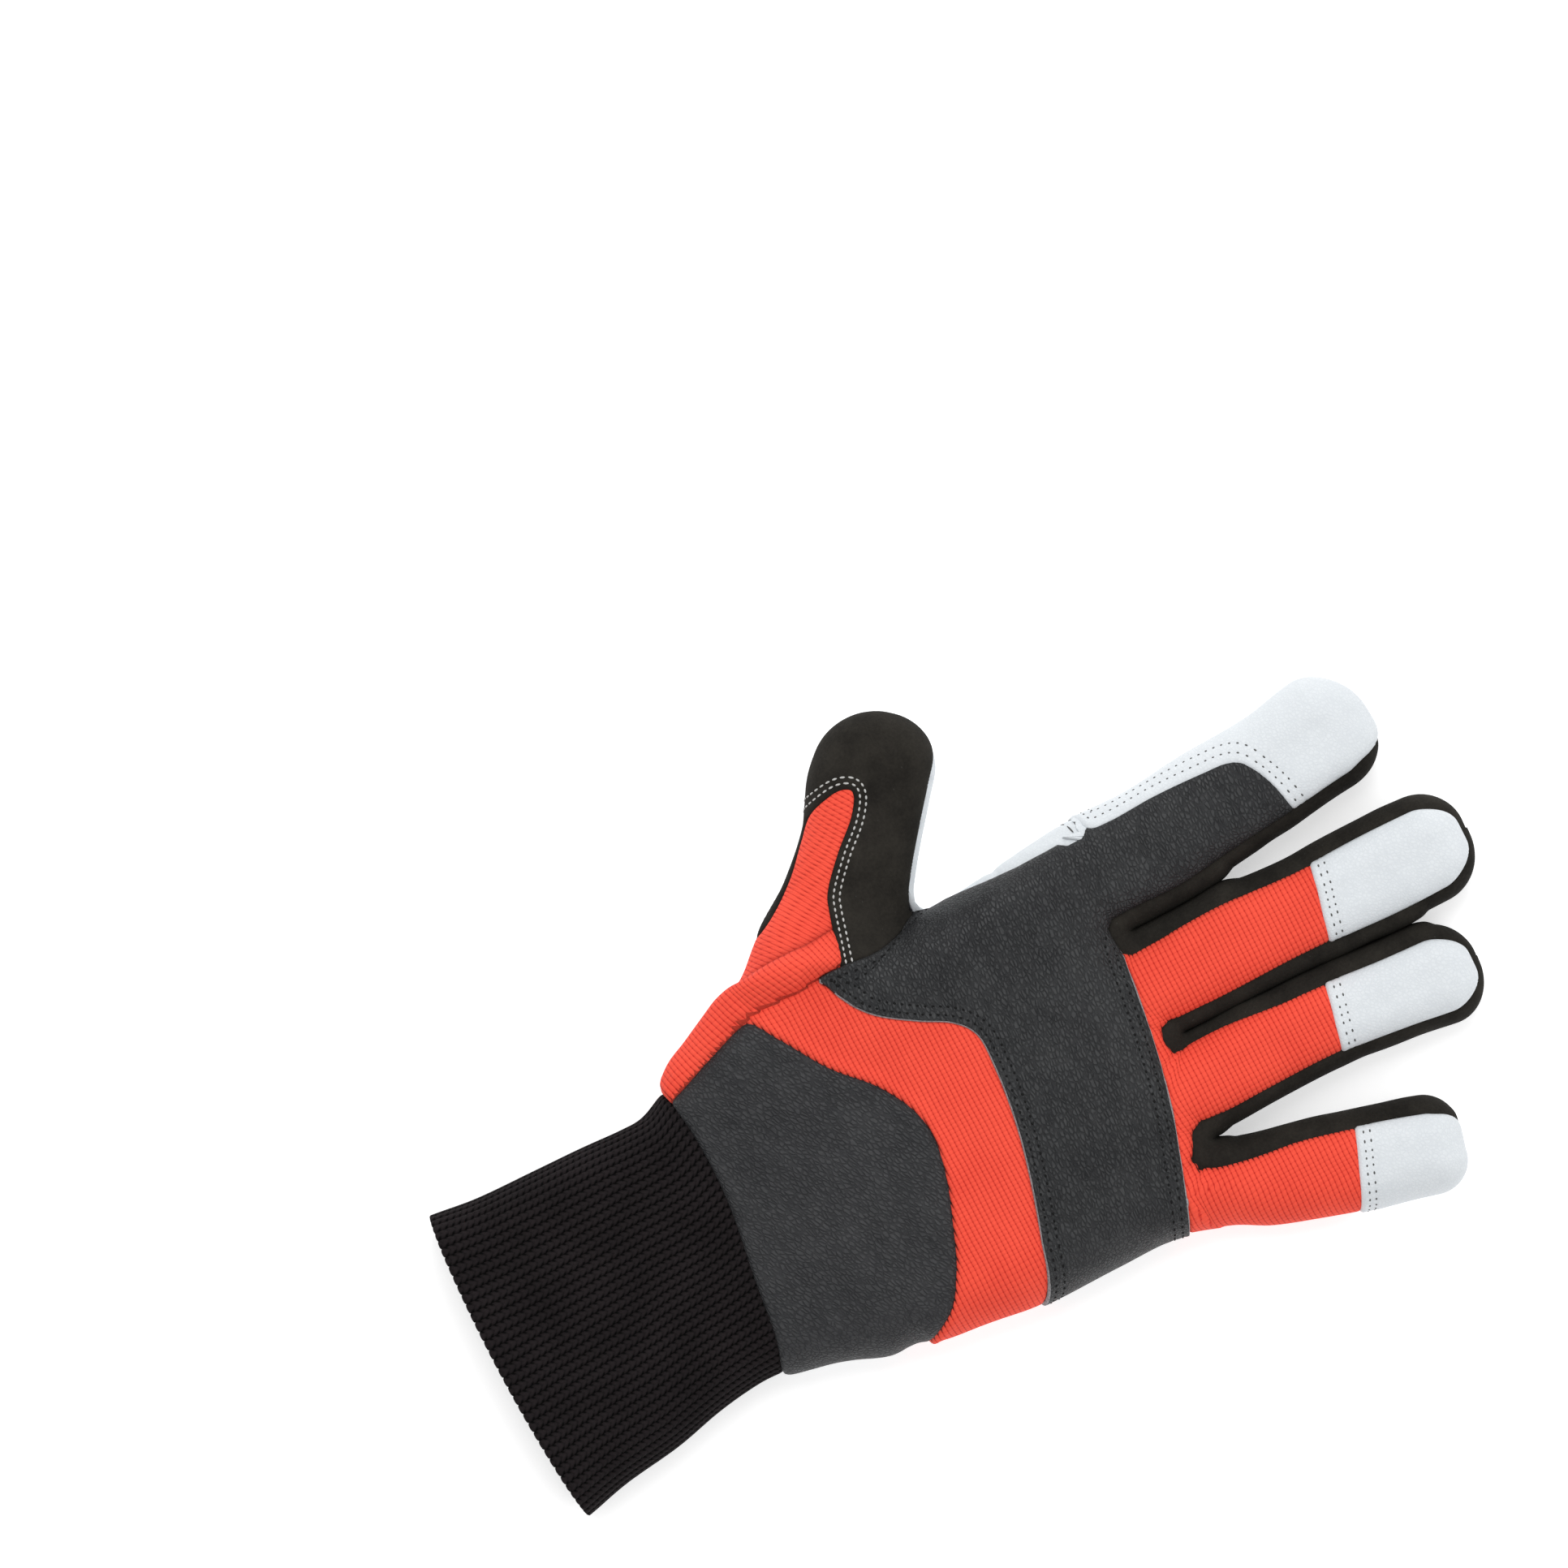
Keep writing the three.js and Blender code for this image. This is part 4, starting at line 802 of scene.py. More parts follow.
def edge_drop(edge: Edge, room: Array) -> Array:
    """How far a piece drops towards one of its edges.

    Args:
        edge: How the piece ends there.
        room: How far inside the seam each point is.

    Returns:
        The drop of each point, in millimetres.
    """
    if edge is Edge.SEWN:
        return 0.95 * np.exp(-np.maximum(room + 0.3, 0) / 0.75)
    if edge is Edge.UNDER:
        return 0.75 * (1 - smoothstep(room, -0.5, 0.6))
    if edge is Edge.TURNED:
        share = np.clip(1 - room / 1.1, 0, 1)
        return 0.5 * (1 - np.sqrt(np.maximum(1 - share * share, 0)))
    if edge is Edge.PUFFED:
        swell = 0.55 * bell(room - 1.6, 1.5)
        return 0.85 * np.exp(-np.maximum(room + 0.25, 0) / 0.5) - swell
    if edge is Edge.CUFF:
        share = np.clip(1 - room / 2.4, 0, 1)
        return 1.2 * (1 - np.sqrt(np.maximum(1 - share * share, 0)))
    return 0.1 * np.exp(-np.maximum(room, 0) / 0.4)


@dataclass(frozen=True)
class Border:
    """One seam that bounds a piece: its name, the side that is kept, and how the piece ends at it."""

    seam: str
    keep: int
    edge: Edge | None


# Seams whose lines are drawn as seen from above, and the distance given to points far off a sheet

SEEN_SEAMS = ("knuckle_top", "thumb_knit")
OFF_SHEET = -999.0


class FlatSheet:
    """A fine grid of points over one side of the glove, from which the pieces are cut."""

    def __init__(self, form: GloveForm, side: Side, cell: float) -> None:
        """Rules the sheet.

        Args:
            form: The form it is laid on.
            side: The side of the glove that it covers.
            cell: The distance between its points, in millimetres.
        """
        self.form = form
        self.side = side
        self.cell = cell
        x = np.arange(-118.0, 92.0, cell)
        y = np.arange(52.0, 302.0, cell)
        grid = np.meshgrid(x, y)
        self.shape = grid[0].shape
        self.points = np.stack([grid[0].ravel(), grid[1].ravel()], 1)
        self.near = form.depth(self.points) > -16
        self.kept: dict[str, Array] = {}

    def room(self, name: str, p: Array) -> Array:
        """Signed distances of points to a seam, or how far inside the sheet's edge they are."""
        if name in ("outline", "wrap_outline"):
            return self.form.outline_room(p, self.side, name == "wrap_outline")
        if name == "tips":
            return self.tips_room(p)
        if name in SEEN_SEAMS:
            p = self.form.seen(p)
        return self.form.seams[name].measure(p)[0]

    def tips_room(self, p: Array) -> Array:
        """How far points are past the start of their own finger's white tip, and -50 elsewhere."""
        fingers = self.form.fingers
        best = np.max([finger.depth(p) for finger in fingers.values()], axis=0)
        found = np.full(len(p), -50.0)
        for name in ("middle", "ring", "little"):
            own = fingers[name].depth(p)
            room = self.form.seams[name + "_tip"].measure(p)[0]
            found = np.where((own >= best) & (own > -12), room, found)
        return found

    def grid_room(self, name: str) -> Array:
        """The same for the sheet's own points, worked out once."""
        if name not in self.kept:
            found = np.full(len(self.points), OFF_SHEET)
            found[self.near] = self.room(name, self.points[self.near])
            self.kept[name] = found
        return self.kept[name]


Relief = Callable[[Array], Array]


@dataclass
class Panel:
    """One piece of leather or knit, cut from a flat sheet and laid on the glove as a wall."""

    name: str
    sheet: FlatSheet
    borders: list[Border]
    wall: float
    base: float
    materials: list[bpy.types.Material]
    slot: str
    only: str = ""
    relief: Relief | None = None
    cloth: Relief | None = None
    pale: Relief | None = None

    def _own(self, p: Array) -> Array:
        """Whether points belong to the piece's own finger."""
        if not self.only:
            return np.ones(len(p), bool)
        fingers = self.sheet.form.fingers
        depths = {name: finger.depth(p) for name, finger in fingers.items()}
        best = np.max(list(depths.values()), axis=0)
        return (depths[self.only] >= best) & (depths[self.only] > -12)

    def borders_room(self, p: Array, grid: bool = False) -> Array:
        """How far points are inside each border, with its growth.

        Args:
            p: Points of the flat sheet.
            grid: Whether they are the sheet's own points.

        Returns:
            One row for each border.
        """
        rows = []
        for border in self.borders:
            found = self.sheet.grid_room(border.seam) if grid else self.sheet.room(border.seam, p)
            grow = EDGE_SHAPES[border.edge].grow if border.edge else 0.0
            rows.append(np.where(found <= OFF_SHEET, OFF_SHEET, border.keep * found + grow))
        return np.stack(rows)

    def lift(self, p: Array) -> Array:
        """How far the outer face stands off the form at points.

        Args:
            p: Points of the flat sheet.

        Returns:
            Heights in millimetres.
        """
        total = np.full(len(p), self.base)
        form = self.sheet.form
        inside = np.full(len(p), 99.0)
        for border in self.borders:
            if border.edge is None:
                continue
            room = border.keep * self.sheet.room(border.seam, p)
            total = total - edge_drop(border.edge, room)
            if border.edge in (Edge.SEWN, Edge.CUFF):
                inside = np.minimum(inside, room)
        calm = smoothstep(inside, 0.5, 7)
        low = 1.0 if self.sheet.side is Side.PALM else 0.0
        total = total + 0.35 * (form.waves.at(p, 26, 17, 20) - low) * calm
        if self.relief is not None:
            total = total + self.relief(p)
        return total

    def cut(self) -> tuple[Array, Array, Array]:
        """Cuts the piece from its sheet.

        Returns:
            Its flat points, its triangles, and its rim as pairs of point numbers.
        """
        sheet = self.sheet
        room = self.borders_room(sheet.points, grid=True).min(axis=0)
        inside = (room > -0.5 * sheet.cell) & self._own(sheet.points)
        m = inside.reshape(sheet.shape)
        number = np.arange(m.size).reshape(sheet.shape)
        a, b, c, d = m[:-1, :-1], m[:-1, 1:], m[1:, 1:], m[1:, :-1]
        na, nb, nc, nd = number[:-1, :-1], number[:-1, 1:], number[1:, 1:], number[1:, :-1]
        even = (np.indices(a.shape).sum(axis=0) % 2) == 0
        full = a & b & c & d
        blocks = [
            (full & even, (na, nb, nc)), (full & even, (na, nc, nd)),
            (full & ~even, (na, nb, nd)), (full & ~even, (nb, nc, nd)),
            (a & b & c & ~d, (na, nb, nc)), (b & c & d & ~a, (nb, nc, nd)),
            (a & c & d & ~b, (na, nc, nd)), (a & b & d & ~c, (na, nb, nd)),
        ]
        faces = np.concatenate([np.stack([k[mask] for k in corners], 1) for mask, corners in blocks])
        used, faces = np.unique(faces, return_inverse=True)
        faces = faces.reshape(-1, 3)
        points = sheet.points[used].copy()
        rim = self.rim_of(faces, len(points))
        return self.settle(points, faces, rim), faces, rim

    @staticmethod
    def rim_of(faces: Array, count: int) -> Array:
        """The edges that only one triangle has, in that triangle's direction."""
        edges = np.concatenate([faces[:, [0, 1]], faces[:, [1, 2]], faces[:, [2, 0]]])
        key = edges[:, 0].astype(np.int64) * count + edges[:, 1]
        back = edges[:, 1].astype(np.int64) * count + edges[:, 0]
        return edges[~np.isin(key, back)]

    def settle(self, points: Array, faces: Array, rim: Array) -> Array:
        """Moves the rim onto the seams and evens out the points beside it."""
        edge = np.unique(rim)
        before = {}
        after = {}
        for a, b in rim.tolist():
            after[a] = b
            before[b] = a
        previous = np.array([before.get(i, i) for i in edge.tolist()])
        following = np.array([after.get(i, i) for i in edge.tolist()])
        for turn in range(5):
            p = points[edge]
            if turn in (2, 3):
                p = 0.5 * p + 0.25 * (points[previous] + points[following])
            p = self.onto_seam(p)
            points[edge] = p
        pairs = np.concatenate([faces[:, [0, 1]], faces[:, [1, 2]], faces[:, [2, 0]]])
        near = np.zeros(len(points), bool)
        near[edge] = True
        for _ in range(2):
            touched = near[pairs].any(axis=1)
            near[pairs[touched].ravel()] = True
        near[edge] = False
        for _ in range(3):
            total = np.zeros_like(points)
            count = np.zeros(len(points))
            for i, j in ((0, 1), (1, 0)):
                np.add.at(total, pairs[:, i], points[pairs[:, j]])
                np.add.at(count, pairs[:, i], 1)
            middle = total / np.maximum(count, 1)[:, None]
            points[near] = 0.5 * points[near] + 0.5 * middle[near]
        return points

    def onto_seam(self, p: Array) -> Array:
        """Moves points onto the nearest border by its slope."""
        step = 0.06
        shifts = np.array([[0, 0], [step, 0], [-step, 0], [0, step], [0, -step]])
        cloud = (p[None] + shifts[:, None]).reshape(-1, 2)
        found = self.borders_room(cloud).min(axis=0).reshape(5, -1)
        slope = np.stack([found[1] - found[2], found[3] - found[4]], 1) / (2 * step)
        size = np.maximum((slope**2).sum(axis=1), 0.25)
        move = slope * (found[0] / size)[:, None]
        reach = np.linalg.norm(move, axis=1)
        most = 0.9 * self.sheet.cell
        return p - move * np.minimum(1, most / np.maximum(reach, 1e-9))[:, None]

    def build(self) -> bpy.types.Object:
        """Lays the piece on the glove, closes it and gives it its finish.

        Returns:
            The object.
        """
        form, side = self.sheet.form, self.sheet.side
        points, faces, rim = self.cut()
        lift = self.lift(points)
        edge = np.unique(rim)
        order = np.full(len(points), -1)
        order[edge] = np.arange(len(edge))
        way = points[rim[:, 1]] - points[rim[:, 0]]
        outward = np.zeros_like(points)
        for column in (0, 1):
            np.add.at(outward, rim[:, column], np.stack([way[:, 1], -way[:, 0]], 1))
        outward = outward[edge] / np.maximum(np.linalg.norm(outward[edge], axis=1), 1e-9)[:, None]
        rooms = self.borders_room(points[edge])
        rooms[[i for i, border in enumerate(self.borders) if border.edge is None]] = 50.0
        nearest = rooms.argmin(axis=0)
        shapes = [EDGE_SHAPES[border.edge or Edge.SEWN] for border in self.borders]
        layers = [form.laid(points, side, lift)]
        for k in (0, 1):
            out = np.array([shape.out[k] for shape in shapes])[nearest]
            down = np.array([shape.down[k] for shape in shapes])[nearest]
            moved = points[edge] + outward * out[:, None]
            layers.append(form.laid(moved, side, lift[edge] - down * self.wall))
        layers.append(form.laid(points, side, lift - self.wall))
        count, rows = len(points), len(edge)
        a, b = rim[:, 0], rim[:, 1]
        first = count + order
        second = count + rows + order
        inner = count + 2 * rows
        bands = [
            np.stack([b, a, first[a], first[b]], 1),
            np.stack([first[b], first[a], second[a], second[b]], 1),
            np.stack([second[b], second[a], inner + a, inner + b], 1),
        ]
        blocks = [faces, *bands, faces[:, ::-1] + inner]
        if side is Side.PALM:
            blocks = [block[:, ::-1] for block in blocks]
        raw = np.array([border.edge is Edge.RAW for border in self.borders])[nearest]
        if self.pale is not None:
            raw = raw & self.pale(points[edge])
        marks = (raw[order[a]] & raw[order[b]] & (len(self.materials) > 1)).astype(int)
        plain = np.zeros(len(faces))
        slots = np.concatenate([plain, marks, marks, np.zeros(len(marks)), plain])
        flat = np.concatenate([points, points[edge], points[edge], points])
        cloth = self.cloth(flat) if self.cloth is not None else flat
        place = (cloth + 150.0) / 1000
        room = self.borders_room(flat)
        seams = [border.seam for border in self.borders]
        room[[i for i, border in enumerate(self.borders) if border.edge is None]] = 50.0
        values = {"painted_crease_shade": np.zeros(len(flat))}
        # Painted crease shade: the knit beside the thumb's side seam is marked to be darkened, where the roll
        # stands over it; that seam is then left out of the seam distances.
        if "thumb_side" in seams:
            own = seams.index("thumb_side")
            fade = 0.9 if self.name == "thumb_knit" else 0.4
            values["painted_crease_shade"] = np.exp(-np.maximum(room[own], 0) / fade)
            room[own] = 50.0
        values["seam"] = np.clip(room.min(axis=0), 0, 20)
        laid = form.metres(np.concatenate(layers))
        return make_object("sewn_" + self.name, laid, blocks, self.materials, slots, place, values)


# Materials


@dataclass(frozen=True)
class Val:
    """A socket whose numbers can be added, subtracted and so on in Python."""

    shade: "Shade"
    socket: bpy.types.NodeSocket

    def _math(self, operation: str, a: "Val | float", b: "Val | float" = 0.0) -> "Val":
        """Adds a Math node."""
        return self.shade.node("ShaderNodeMath", {"operation": operation}, {0: a, 1: b})

    def __add__(self, other: "Val | float") -> "Val":
        """The sum."""
        return self._math("ADD", self, other)

    def __radd__(self, other: float) -> "Val":
        """The sum."""
        return self._math("ADD", other, self)

    def __sub__(self, other: "Val | float") -> "Val":
        """The difference."""
        return self._math("SUBTRACT", self, other)

    def __rsub__(self, other: float) -> "Val":
        """The difference."""
        return self._math("SUBTRACT", other, self)

    def __mul__(self, other: "Val | float") -> "Val":
        """The product."""
        return self._math("MULTIPLY", self, other)

    def __rmul__(self, other: float) -> "Val":
        """The product."""
        return self._math("MULTIPLY", other, self)

    def __truediv__(self, other: "Val | float") -> "Val":
        """The quotient."""
        return self._math("DIVIDE", self, other)

    def __pow__(self, other: float) -> "Val":
        """The power."""
        return self._math("POWER", self, other)

    def fract(self) -> "Val":
        """The part after the point."""
        return self._math("FRACT", self)

    def floor(self) -> "Val":
        """The whole number below."""
        return self._math("FLOOR", self)

    def absolute(self) -> "Val":
        """The size without its sign."""
        return self._math("ABSOLUTE", self)

    def sine(self) -> "Val":
        """The sine, for radians."""
        return self._math("SINE", self)

    def least(self, other: "Val | float") -> "Val":
        """The smaller of two."""
        return self._math("MINIMUM", self, other)

    def most(self, other: "Val | float") -> "Val":
        """The larger of two."""
        return self._math("MAXIMUM", self, other)

    def ramp(self, low: float, high: float) -> "Val":
        """Goes smoothly from 0 at low to 1 at high."""
        settings = {"interpolation_type": "SMOOTHSTEP"}
        inputs = {"Value": self, "From Min": low, "From Max": high}
        return self.shade.node("ShaderNodeMapRange", settings, inputs)


Input = Val | float | tuple


class Shade:
    """One material's nodes."""

    def __init__(self, name: str) -> None:
        """Makes an empty material."""
        self.material = bpy.data.materials.new(name)
        self.material.use_nodes = True
        self.tree = self.material.node_tree
        self.tree.nodes.clear()

    def node(
        self,
        kind: str,
        settings: dict[str, object] | None = None,
        inputs: dict[str | int, Input] | None = None,
        output: str | int = 0,
    ) -> Val:
        """Adds a node.

        Args:
            kind: The node's type.
            settings: Its settings, which are set first. A ramp's stops go under "stops".
            inputs: Values or links for its sockets, by name or number.
            output: The output that is returned.

        Returns:
            The output, ready for sums.
        """
        made = self.tree.nodes.new(kind)
        for key, value in (settings or {}).items():
            if key == "stops":
                for i, (at, colour) in enumerate(value):
                    stop = made.color_ramp.elements[i] if i < 2 else made.color_ramp.elements.new(at)
                    stop.position = at
                    stop.color = colour
            else:
                setattr(made, key, value)
        for key, value in (inputs or {}).items():
            if isinstance(value, Val):
                self.tree.links.new(value.socket, made.inputs[key])
            else:
                made.inputs[key].default_value = value
        return Val(self, made.outputs[output])

    def place(self) -> Val:
        """Object coordinates, in metres."""
        return self.node("ShaderNodeTexCoord", output="Object")

    def cloth(self) -> tuple[Val, Val]:
        """The place on the flat cloth, across and along, in metres."""
        place = self.node("ShaderNodeUVMap", {"uv_map": "cloth"})
        across = self.node("ShaderNodeSeparateXYZ", None, {0: place}, "X")
        return across, Val(self, across.socket.node.outputs["Y"])

    def noise(self, size: float, detail: float = 2.0, rough: float = 0.5, place: Val | None = None) -> Val:
        """Noise with waves of about a size, in metres."""
        inputs = {"Vector": place or self.place(), "Scale": 1 / size, "Detail": detail, "Roughness": rough}
        return self.node("ShaderNodeTexNoise", None, inputs, 0)

    def mix(self, share: Input, low: Input, high: Input) -> Val:
        """A colour between two."""
        inputs = {0: share, 6: low, 7: high}
        return self.node("ShaderNodeMix", {"data_type": "RGBA"}, inputs, 2)

    def bump(self, height: Val, distance: float, strength: float = 1.0) -> Val:
        """A bumpy normal from heights of 0 to 1 times a distance in metres."""
        inputs = {"Height": height, "Distance": distance, "Strength": strength}
        return self.node("ShaderNodeBump", None, inputs)

    def finish(self, **inputs: Input) -> bpy.types.Material:
        """Adds the surface, with its sockets by name and underscores for spaces.

        Returns:
            The material.
        """
        named = {key.replace("_", " "): value for key, value in inputs.items()}
        surface = self.node("ShaderNodeBsdfPrincipled", None, named)
        self.node_output(surface)
        return self.material

    def node_output(self, surface: Val) -> None:
        """Links a surface to the material's output."""
        made = self.tree.nodes.new("ShaderNodeOutputMaterial")
        self.tree.links.new(surface.socket, made.inputs["Surface"])


Colour = tuple[float, float, float, float]


@dataclass(frozen=True)
class Leather:
    """Grained leather: drawn-out pebbles with painted shade in their cracks, fine pores and a soft mottle."""

    name: str
    light: Colour
    dark: Colour
    pebble: float
    relief: float
    gloss: float
    slant: float = 0.0
    drawn: float = 1.0
    shine: float = 0.5

    def make(self) -> bpy.types.Material:
        """Builds the material."""
        shade = Shade(self.name)
        place = shade.place()
        laid = shade.node(
            "ShaderNodeMapping", {"vector_type": "TEXTURE"},
            {0: place, 2: (0.0, 0.0, math.radians(self.slant)), 3: (self.drawn, 1.0, 1.0)},
        )
        drift = shade.node("ShaderNodeTexNoise", None, {"Vector": place, "Scale": 450.0, "Detail": 1.0}, 1)
        moved = shade.node("ShaderNodeMix", {"data_type": "VECTOR"}, {0: 0.0006, 4: laid, 5: drift}, 1)
        cells = shade.node(
            "ShaderNodeTexVoronoi", {"feature": "DISTANCE_TO_EDGE"},
            {"Vector": moved, "Scale": 1 / self.pebble, "Randomness": 1.0}, 0,
        )
        pebbles = cells.ramp(0.0, 0.24)
        grain = shade.noise(self.pebble * 0.8, 2.0, 0.6, laid)
        folds = shade.noise(self.pebble * 3.2, 2.0, 0.5, laid)
        patches = shade.noise(0.009, 3.0)
        wide = shade.noise(0.03, 2.0)
        height = pebbles * 0.45 + grain * 0.25 + folds * 0.3
        # The colour follows the relief: darker in the cracks between pebbles and lighter where grain and
        # folds stand high, which is painted shade and highlight; the patches and wide waves are the leather's
        # own mottle.
        crack_shade_and_mottle = pebbles * 0.3 + grain * 0.35 + folds * 0.4 + patches * 0.45 + wide * 0.4
        tone = (crack_shade_and_mottle - 0.52).ramp(0.0, 1.0)
        roughness = self.gloss + (1 - pebbles) * 0.14 + patches * 0.1
        return shade.finish(
            Base_Color=shade.mix(tone, self.dark, self.light),
            Roughness=roughness,
            Normal=shade.bump(height, self.relief),
            Specular_IOR_Level=self.shine,
        )


@dataclass(frozen=True)
class Microfibre:
    """Black suede-like microfibre with a short nap; its soft lighter patches are painted sheen."""

    name: str
    light: Colour
    dark: Colour
    lint: Colour

    def make(self) -> bpy.types.Material:
        """Builds the material."""
        shade = Shade(self.name)
        nap = shade.noise(0.0009, 4.0, 0.7)
        patches = shade.noise(0.007, 3.0)
        wide = shade.noise(0.022, 2.0)
        specks = shade.noise(0.0011, 1.0).ramp(0.77, 0.82)
        # The lighter patches and wide waves in the tone are painted sheen; the nap and the lint specks are
        # the cloth's own.
        tone = (nap * 0.5 + patches * 0.6 + wide * 0.5 - 0.35).ramp(0.1, 0.9)
        base = shade.mix(tone, self.dark, self.light)
        return shade.finish(
            Base_Color=shade.mix(specks * 0.35, base, self.lint),
            Roughness=0.95,
            Normal=shade.bump(nap * 0.6 + patches * 0.4, 0.0003),
            Specular_IOR_Level=0.15,
        )


@dataclass(frozen=True)
class RibbedElastic:
    """Orange elastic knit: ribs across the hand, crossed by a grid of finer threads."""

    name: str
    light: Colour
    dark: Colour
    rib: float = 0.00136
    thread: float = 0.00114

    def make(self) -> bpy.types.Material:
        """Builds the material."""
        shade = Shade(self.name)
        across, along = shade.cloth()
        wander = shade.noise(0.012, 2.0) * 0.0006
        sway = shade.noise(0.016, 2.0, 0.5) * 0.0007
        rib = (((along + wander) / self.rib) * math.pi).sine().absolute()
        thread = (((across + sway) / self.thread) * math.pi).sine().absolute()
        fuzz = shade.noise(0.0005, 2.0)
        groove = 1 - rib.ramp(0.05, 0.58)
        cross = 1 - thread.ramp(0.0, 0.6)
        dots = groove * cross
        patches = shade.noise(0.016, 3.0)
        height = rib * 0.55 + thread * 0.3 + fuzz * 0.15
        # Painted shade: darker in the grooves and where the grooves cross the threads; the fuzz and patches
        # are the knit's own uneven tone.
        shadow = groove * 0.55 + cross * 0.14 + dots * 0.35 + (fuzz - 0.5) * 0.35 + (patches - 0.5) * 0.5
        colour = shade.mix(shadow.ramp(-0.35, 1.05), self.light, self.dark)
        seam = shade.node("ShaderNodeAttribute", {"attribute_name": "seam"}, None, "Fac")
        # Painted shade: close to a seam the grooves go almost black.
        ends = (1 - seam.ramp(0.3, 1.15)) * (1 - rib.ramp(0.2, 0.75))
        # Painted shade beside the crease at the thumb's side seam, where the roll stands over the knit.
        painted_crease_shade = shade.node("ShaderNodeAttribute", {"attribute_name": "painted_crease_shade"}, None, "Fac")
        colour = shade.mix(painted_crease_shade * 0.75, colour, (0.2, 0.008, 0.006, 1))
        return shade.finish(
            Base_Color=shade.mix(ends, colour, (0.05, 0.006, 0.004, 1)),
            Roughness=0.8,
            Normal=shade.bump(height, 0.00032),
            Specular_IOR_Level=0.25,
        )


@dataclass(frozen=True)
class RibKnit:
    """Black rib knit: each rib is a row of V-shaped stitches with small holes beside it."""

    name: str
    light: Colour
    dark: Colour
    stitch: float = 0.00168

    def make(self) -> bpy.types.Material:
        """Builds the material."""
        shade = Shade(self.name)
        across, along = shade.cloth()
        turn = across * 100
        arm = (turn.fract() - 0.5).absolute()
        sway = shade.noise(0.01, 2.0) * 0.0008
        rows = (along + sway) / self.stitch + arm * 1.3 + turn.floor() * 0.37
        loops = (rows * math.pi).sine().absolute() ** 0.7
        fuzz = shade.noise(0.0006, 3.0)
        patches = shade.noise(0.012, 2.0)
        beside = arm.ramp(0.18, 0.36)
        hole = (1 - loops.ramp(0.35, 0.85)) * beside
        height = loops * 0.45 + fuzz * 0.3 - hole * 0.5 + 0.25
        # Painted shade and highlight: the loops are lighter where they stand high, darker beside each rib and
        # nearly black in the holes; the fuzz and patches are the knit's own tone.
        tone = 0.25 + loops * 0.35 + fuzz * 0.45 + (patches - 0.5) * 0.6
        tone = tone * (1 - beside * 0.2) * (1 - hole * 0.95)
        return shade.finish(
            Base_Color=shade.mix(tone, self.dark, self.light),
            Roughness=0.95,
            Normal=shade.bump(height, 0.0004),
            Specular_IOR_Level=0.12,
        )


@dataclass(frozen=True)
class Plain:
    """A fibrous finish for thread and for the cut edges of leather."""

    name: str
    light: Colour
    dark: Colour
    grain: float
    roughness: float

    def make(self) -> bpy.types.Material:
        """Builds the material."""
        shade = Shade(self.name)
        fibres = shade.noise(self.grain, 3.0, 0.7)
        return shade.finish(
            Base_Color=shade.mix(fibres.ramp(0.25, 0.75), self.dark, self.light),
            Roughness=self.roughness,
            Normal=shade.bump(fibres, 0.00012),
            Specular_IOR_Level=0.25,
        )


@dataclass
class Finishes:
    """Every finish on the glove."""

    wrist_leather: bpy.types.Material = field(init=False)
    knuckle_leather: bpy.types.Material = field(init=False)
    white_leather: bpy.types.Material = field(init=False)
    microfibre: bpy.types.Material = field(init=False)
    orange: bpy.types.Material = field(init=False)
    rib_knit: bpy.types.Material = field(init=False)
    cut_edge: bpy.types.Material = field(init=False)
    grey_thread: bpy.types.Material = field(init=False)
    black_thread: bpy.types.Material = field(init=False)
    pale_thread: bpy.types.Material = field(init=False)

    def __post_init__(self) -> None:
        """Builds the materials."""
        self.wrist_leather = Leather(
            "wrist_leather", (0.05, 0.0505, 0.053, 1), (0.013, 0.0135, 0.0155, 1), 0.0009, 0.00042, 0.46,
            27.0, 2.3, 0.32,
        ).make()
        self.knuckle_leather = Leather(
            "knuckle_leather", (0.047, 0.0485, 0.05, 1), (0.009, 0.0095, 0.011, 1), 0.0009, 0.00045, 0.44,
            -4.0, 2.1, 0.32,
        ).make()
        self.white_leather = Leather(
            "white_leather", (0.775, 0.81, 0.835, 1), (0.675, 0.71, 0.74, 1), 0.0009, 0.00008, 0.55,
            30.0, 1.3, 0.3,
        ).make()
        self.microfibre = Microfibre(
            "black_microfibre", (0.034, 0.0305, 0.025, 1), (0.0095, 0.0085, 0.0072, 1), (0.07, 0.07, 0.065, 1)
        ).make()
        self.orange = RibbedElastic("orange_knit", (1.0, 0.1, 0.056, 1), (0.55, 0.0155, 0.0095, 1)).make()
        self.rib_knit = RibKnit(
            "black_rib_knit", (0.0185, 0.0145, 0.0155, 1), (0.0006, 0.0005, 0.0006, 1)
        ).make()
        self.cut_edge = Plain("cut_edge", (0.44, 0.45, 0.46, 1), (0.16, 0.16, 0.17, 1), 0.0007, 0.9).make()
        self.grey_thread = Plain(
            "grey_thread", (0.14, 0.14, 0.135, 1), (0.07, 0.07, 0.07, 1), 0.0004, 0.7
        ).make()
        self.black_thread = Plain(
            "black_thread", (0.006, 0.006, 0.0065, 1), (0.002, 0.002, 0.002, 1), 0.0004, 0.8
        ).make()
        self.pale_thread = Plain(
            "pale_thread", (0.62, 0.62, 0.60, 1), (0.40, 0.40, 0.39, 1), 0.0004, 0.7
        ).make()


# Sub-assemblies


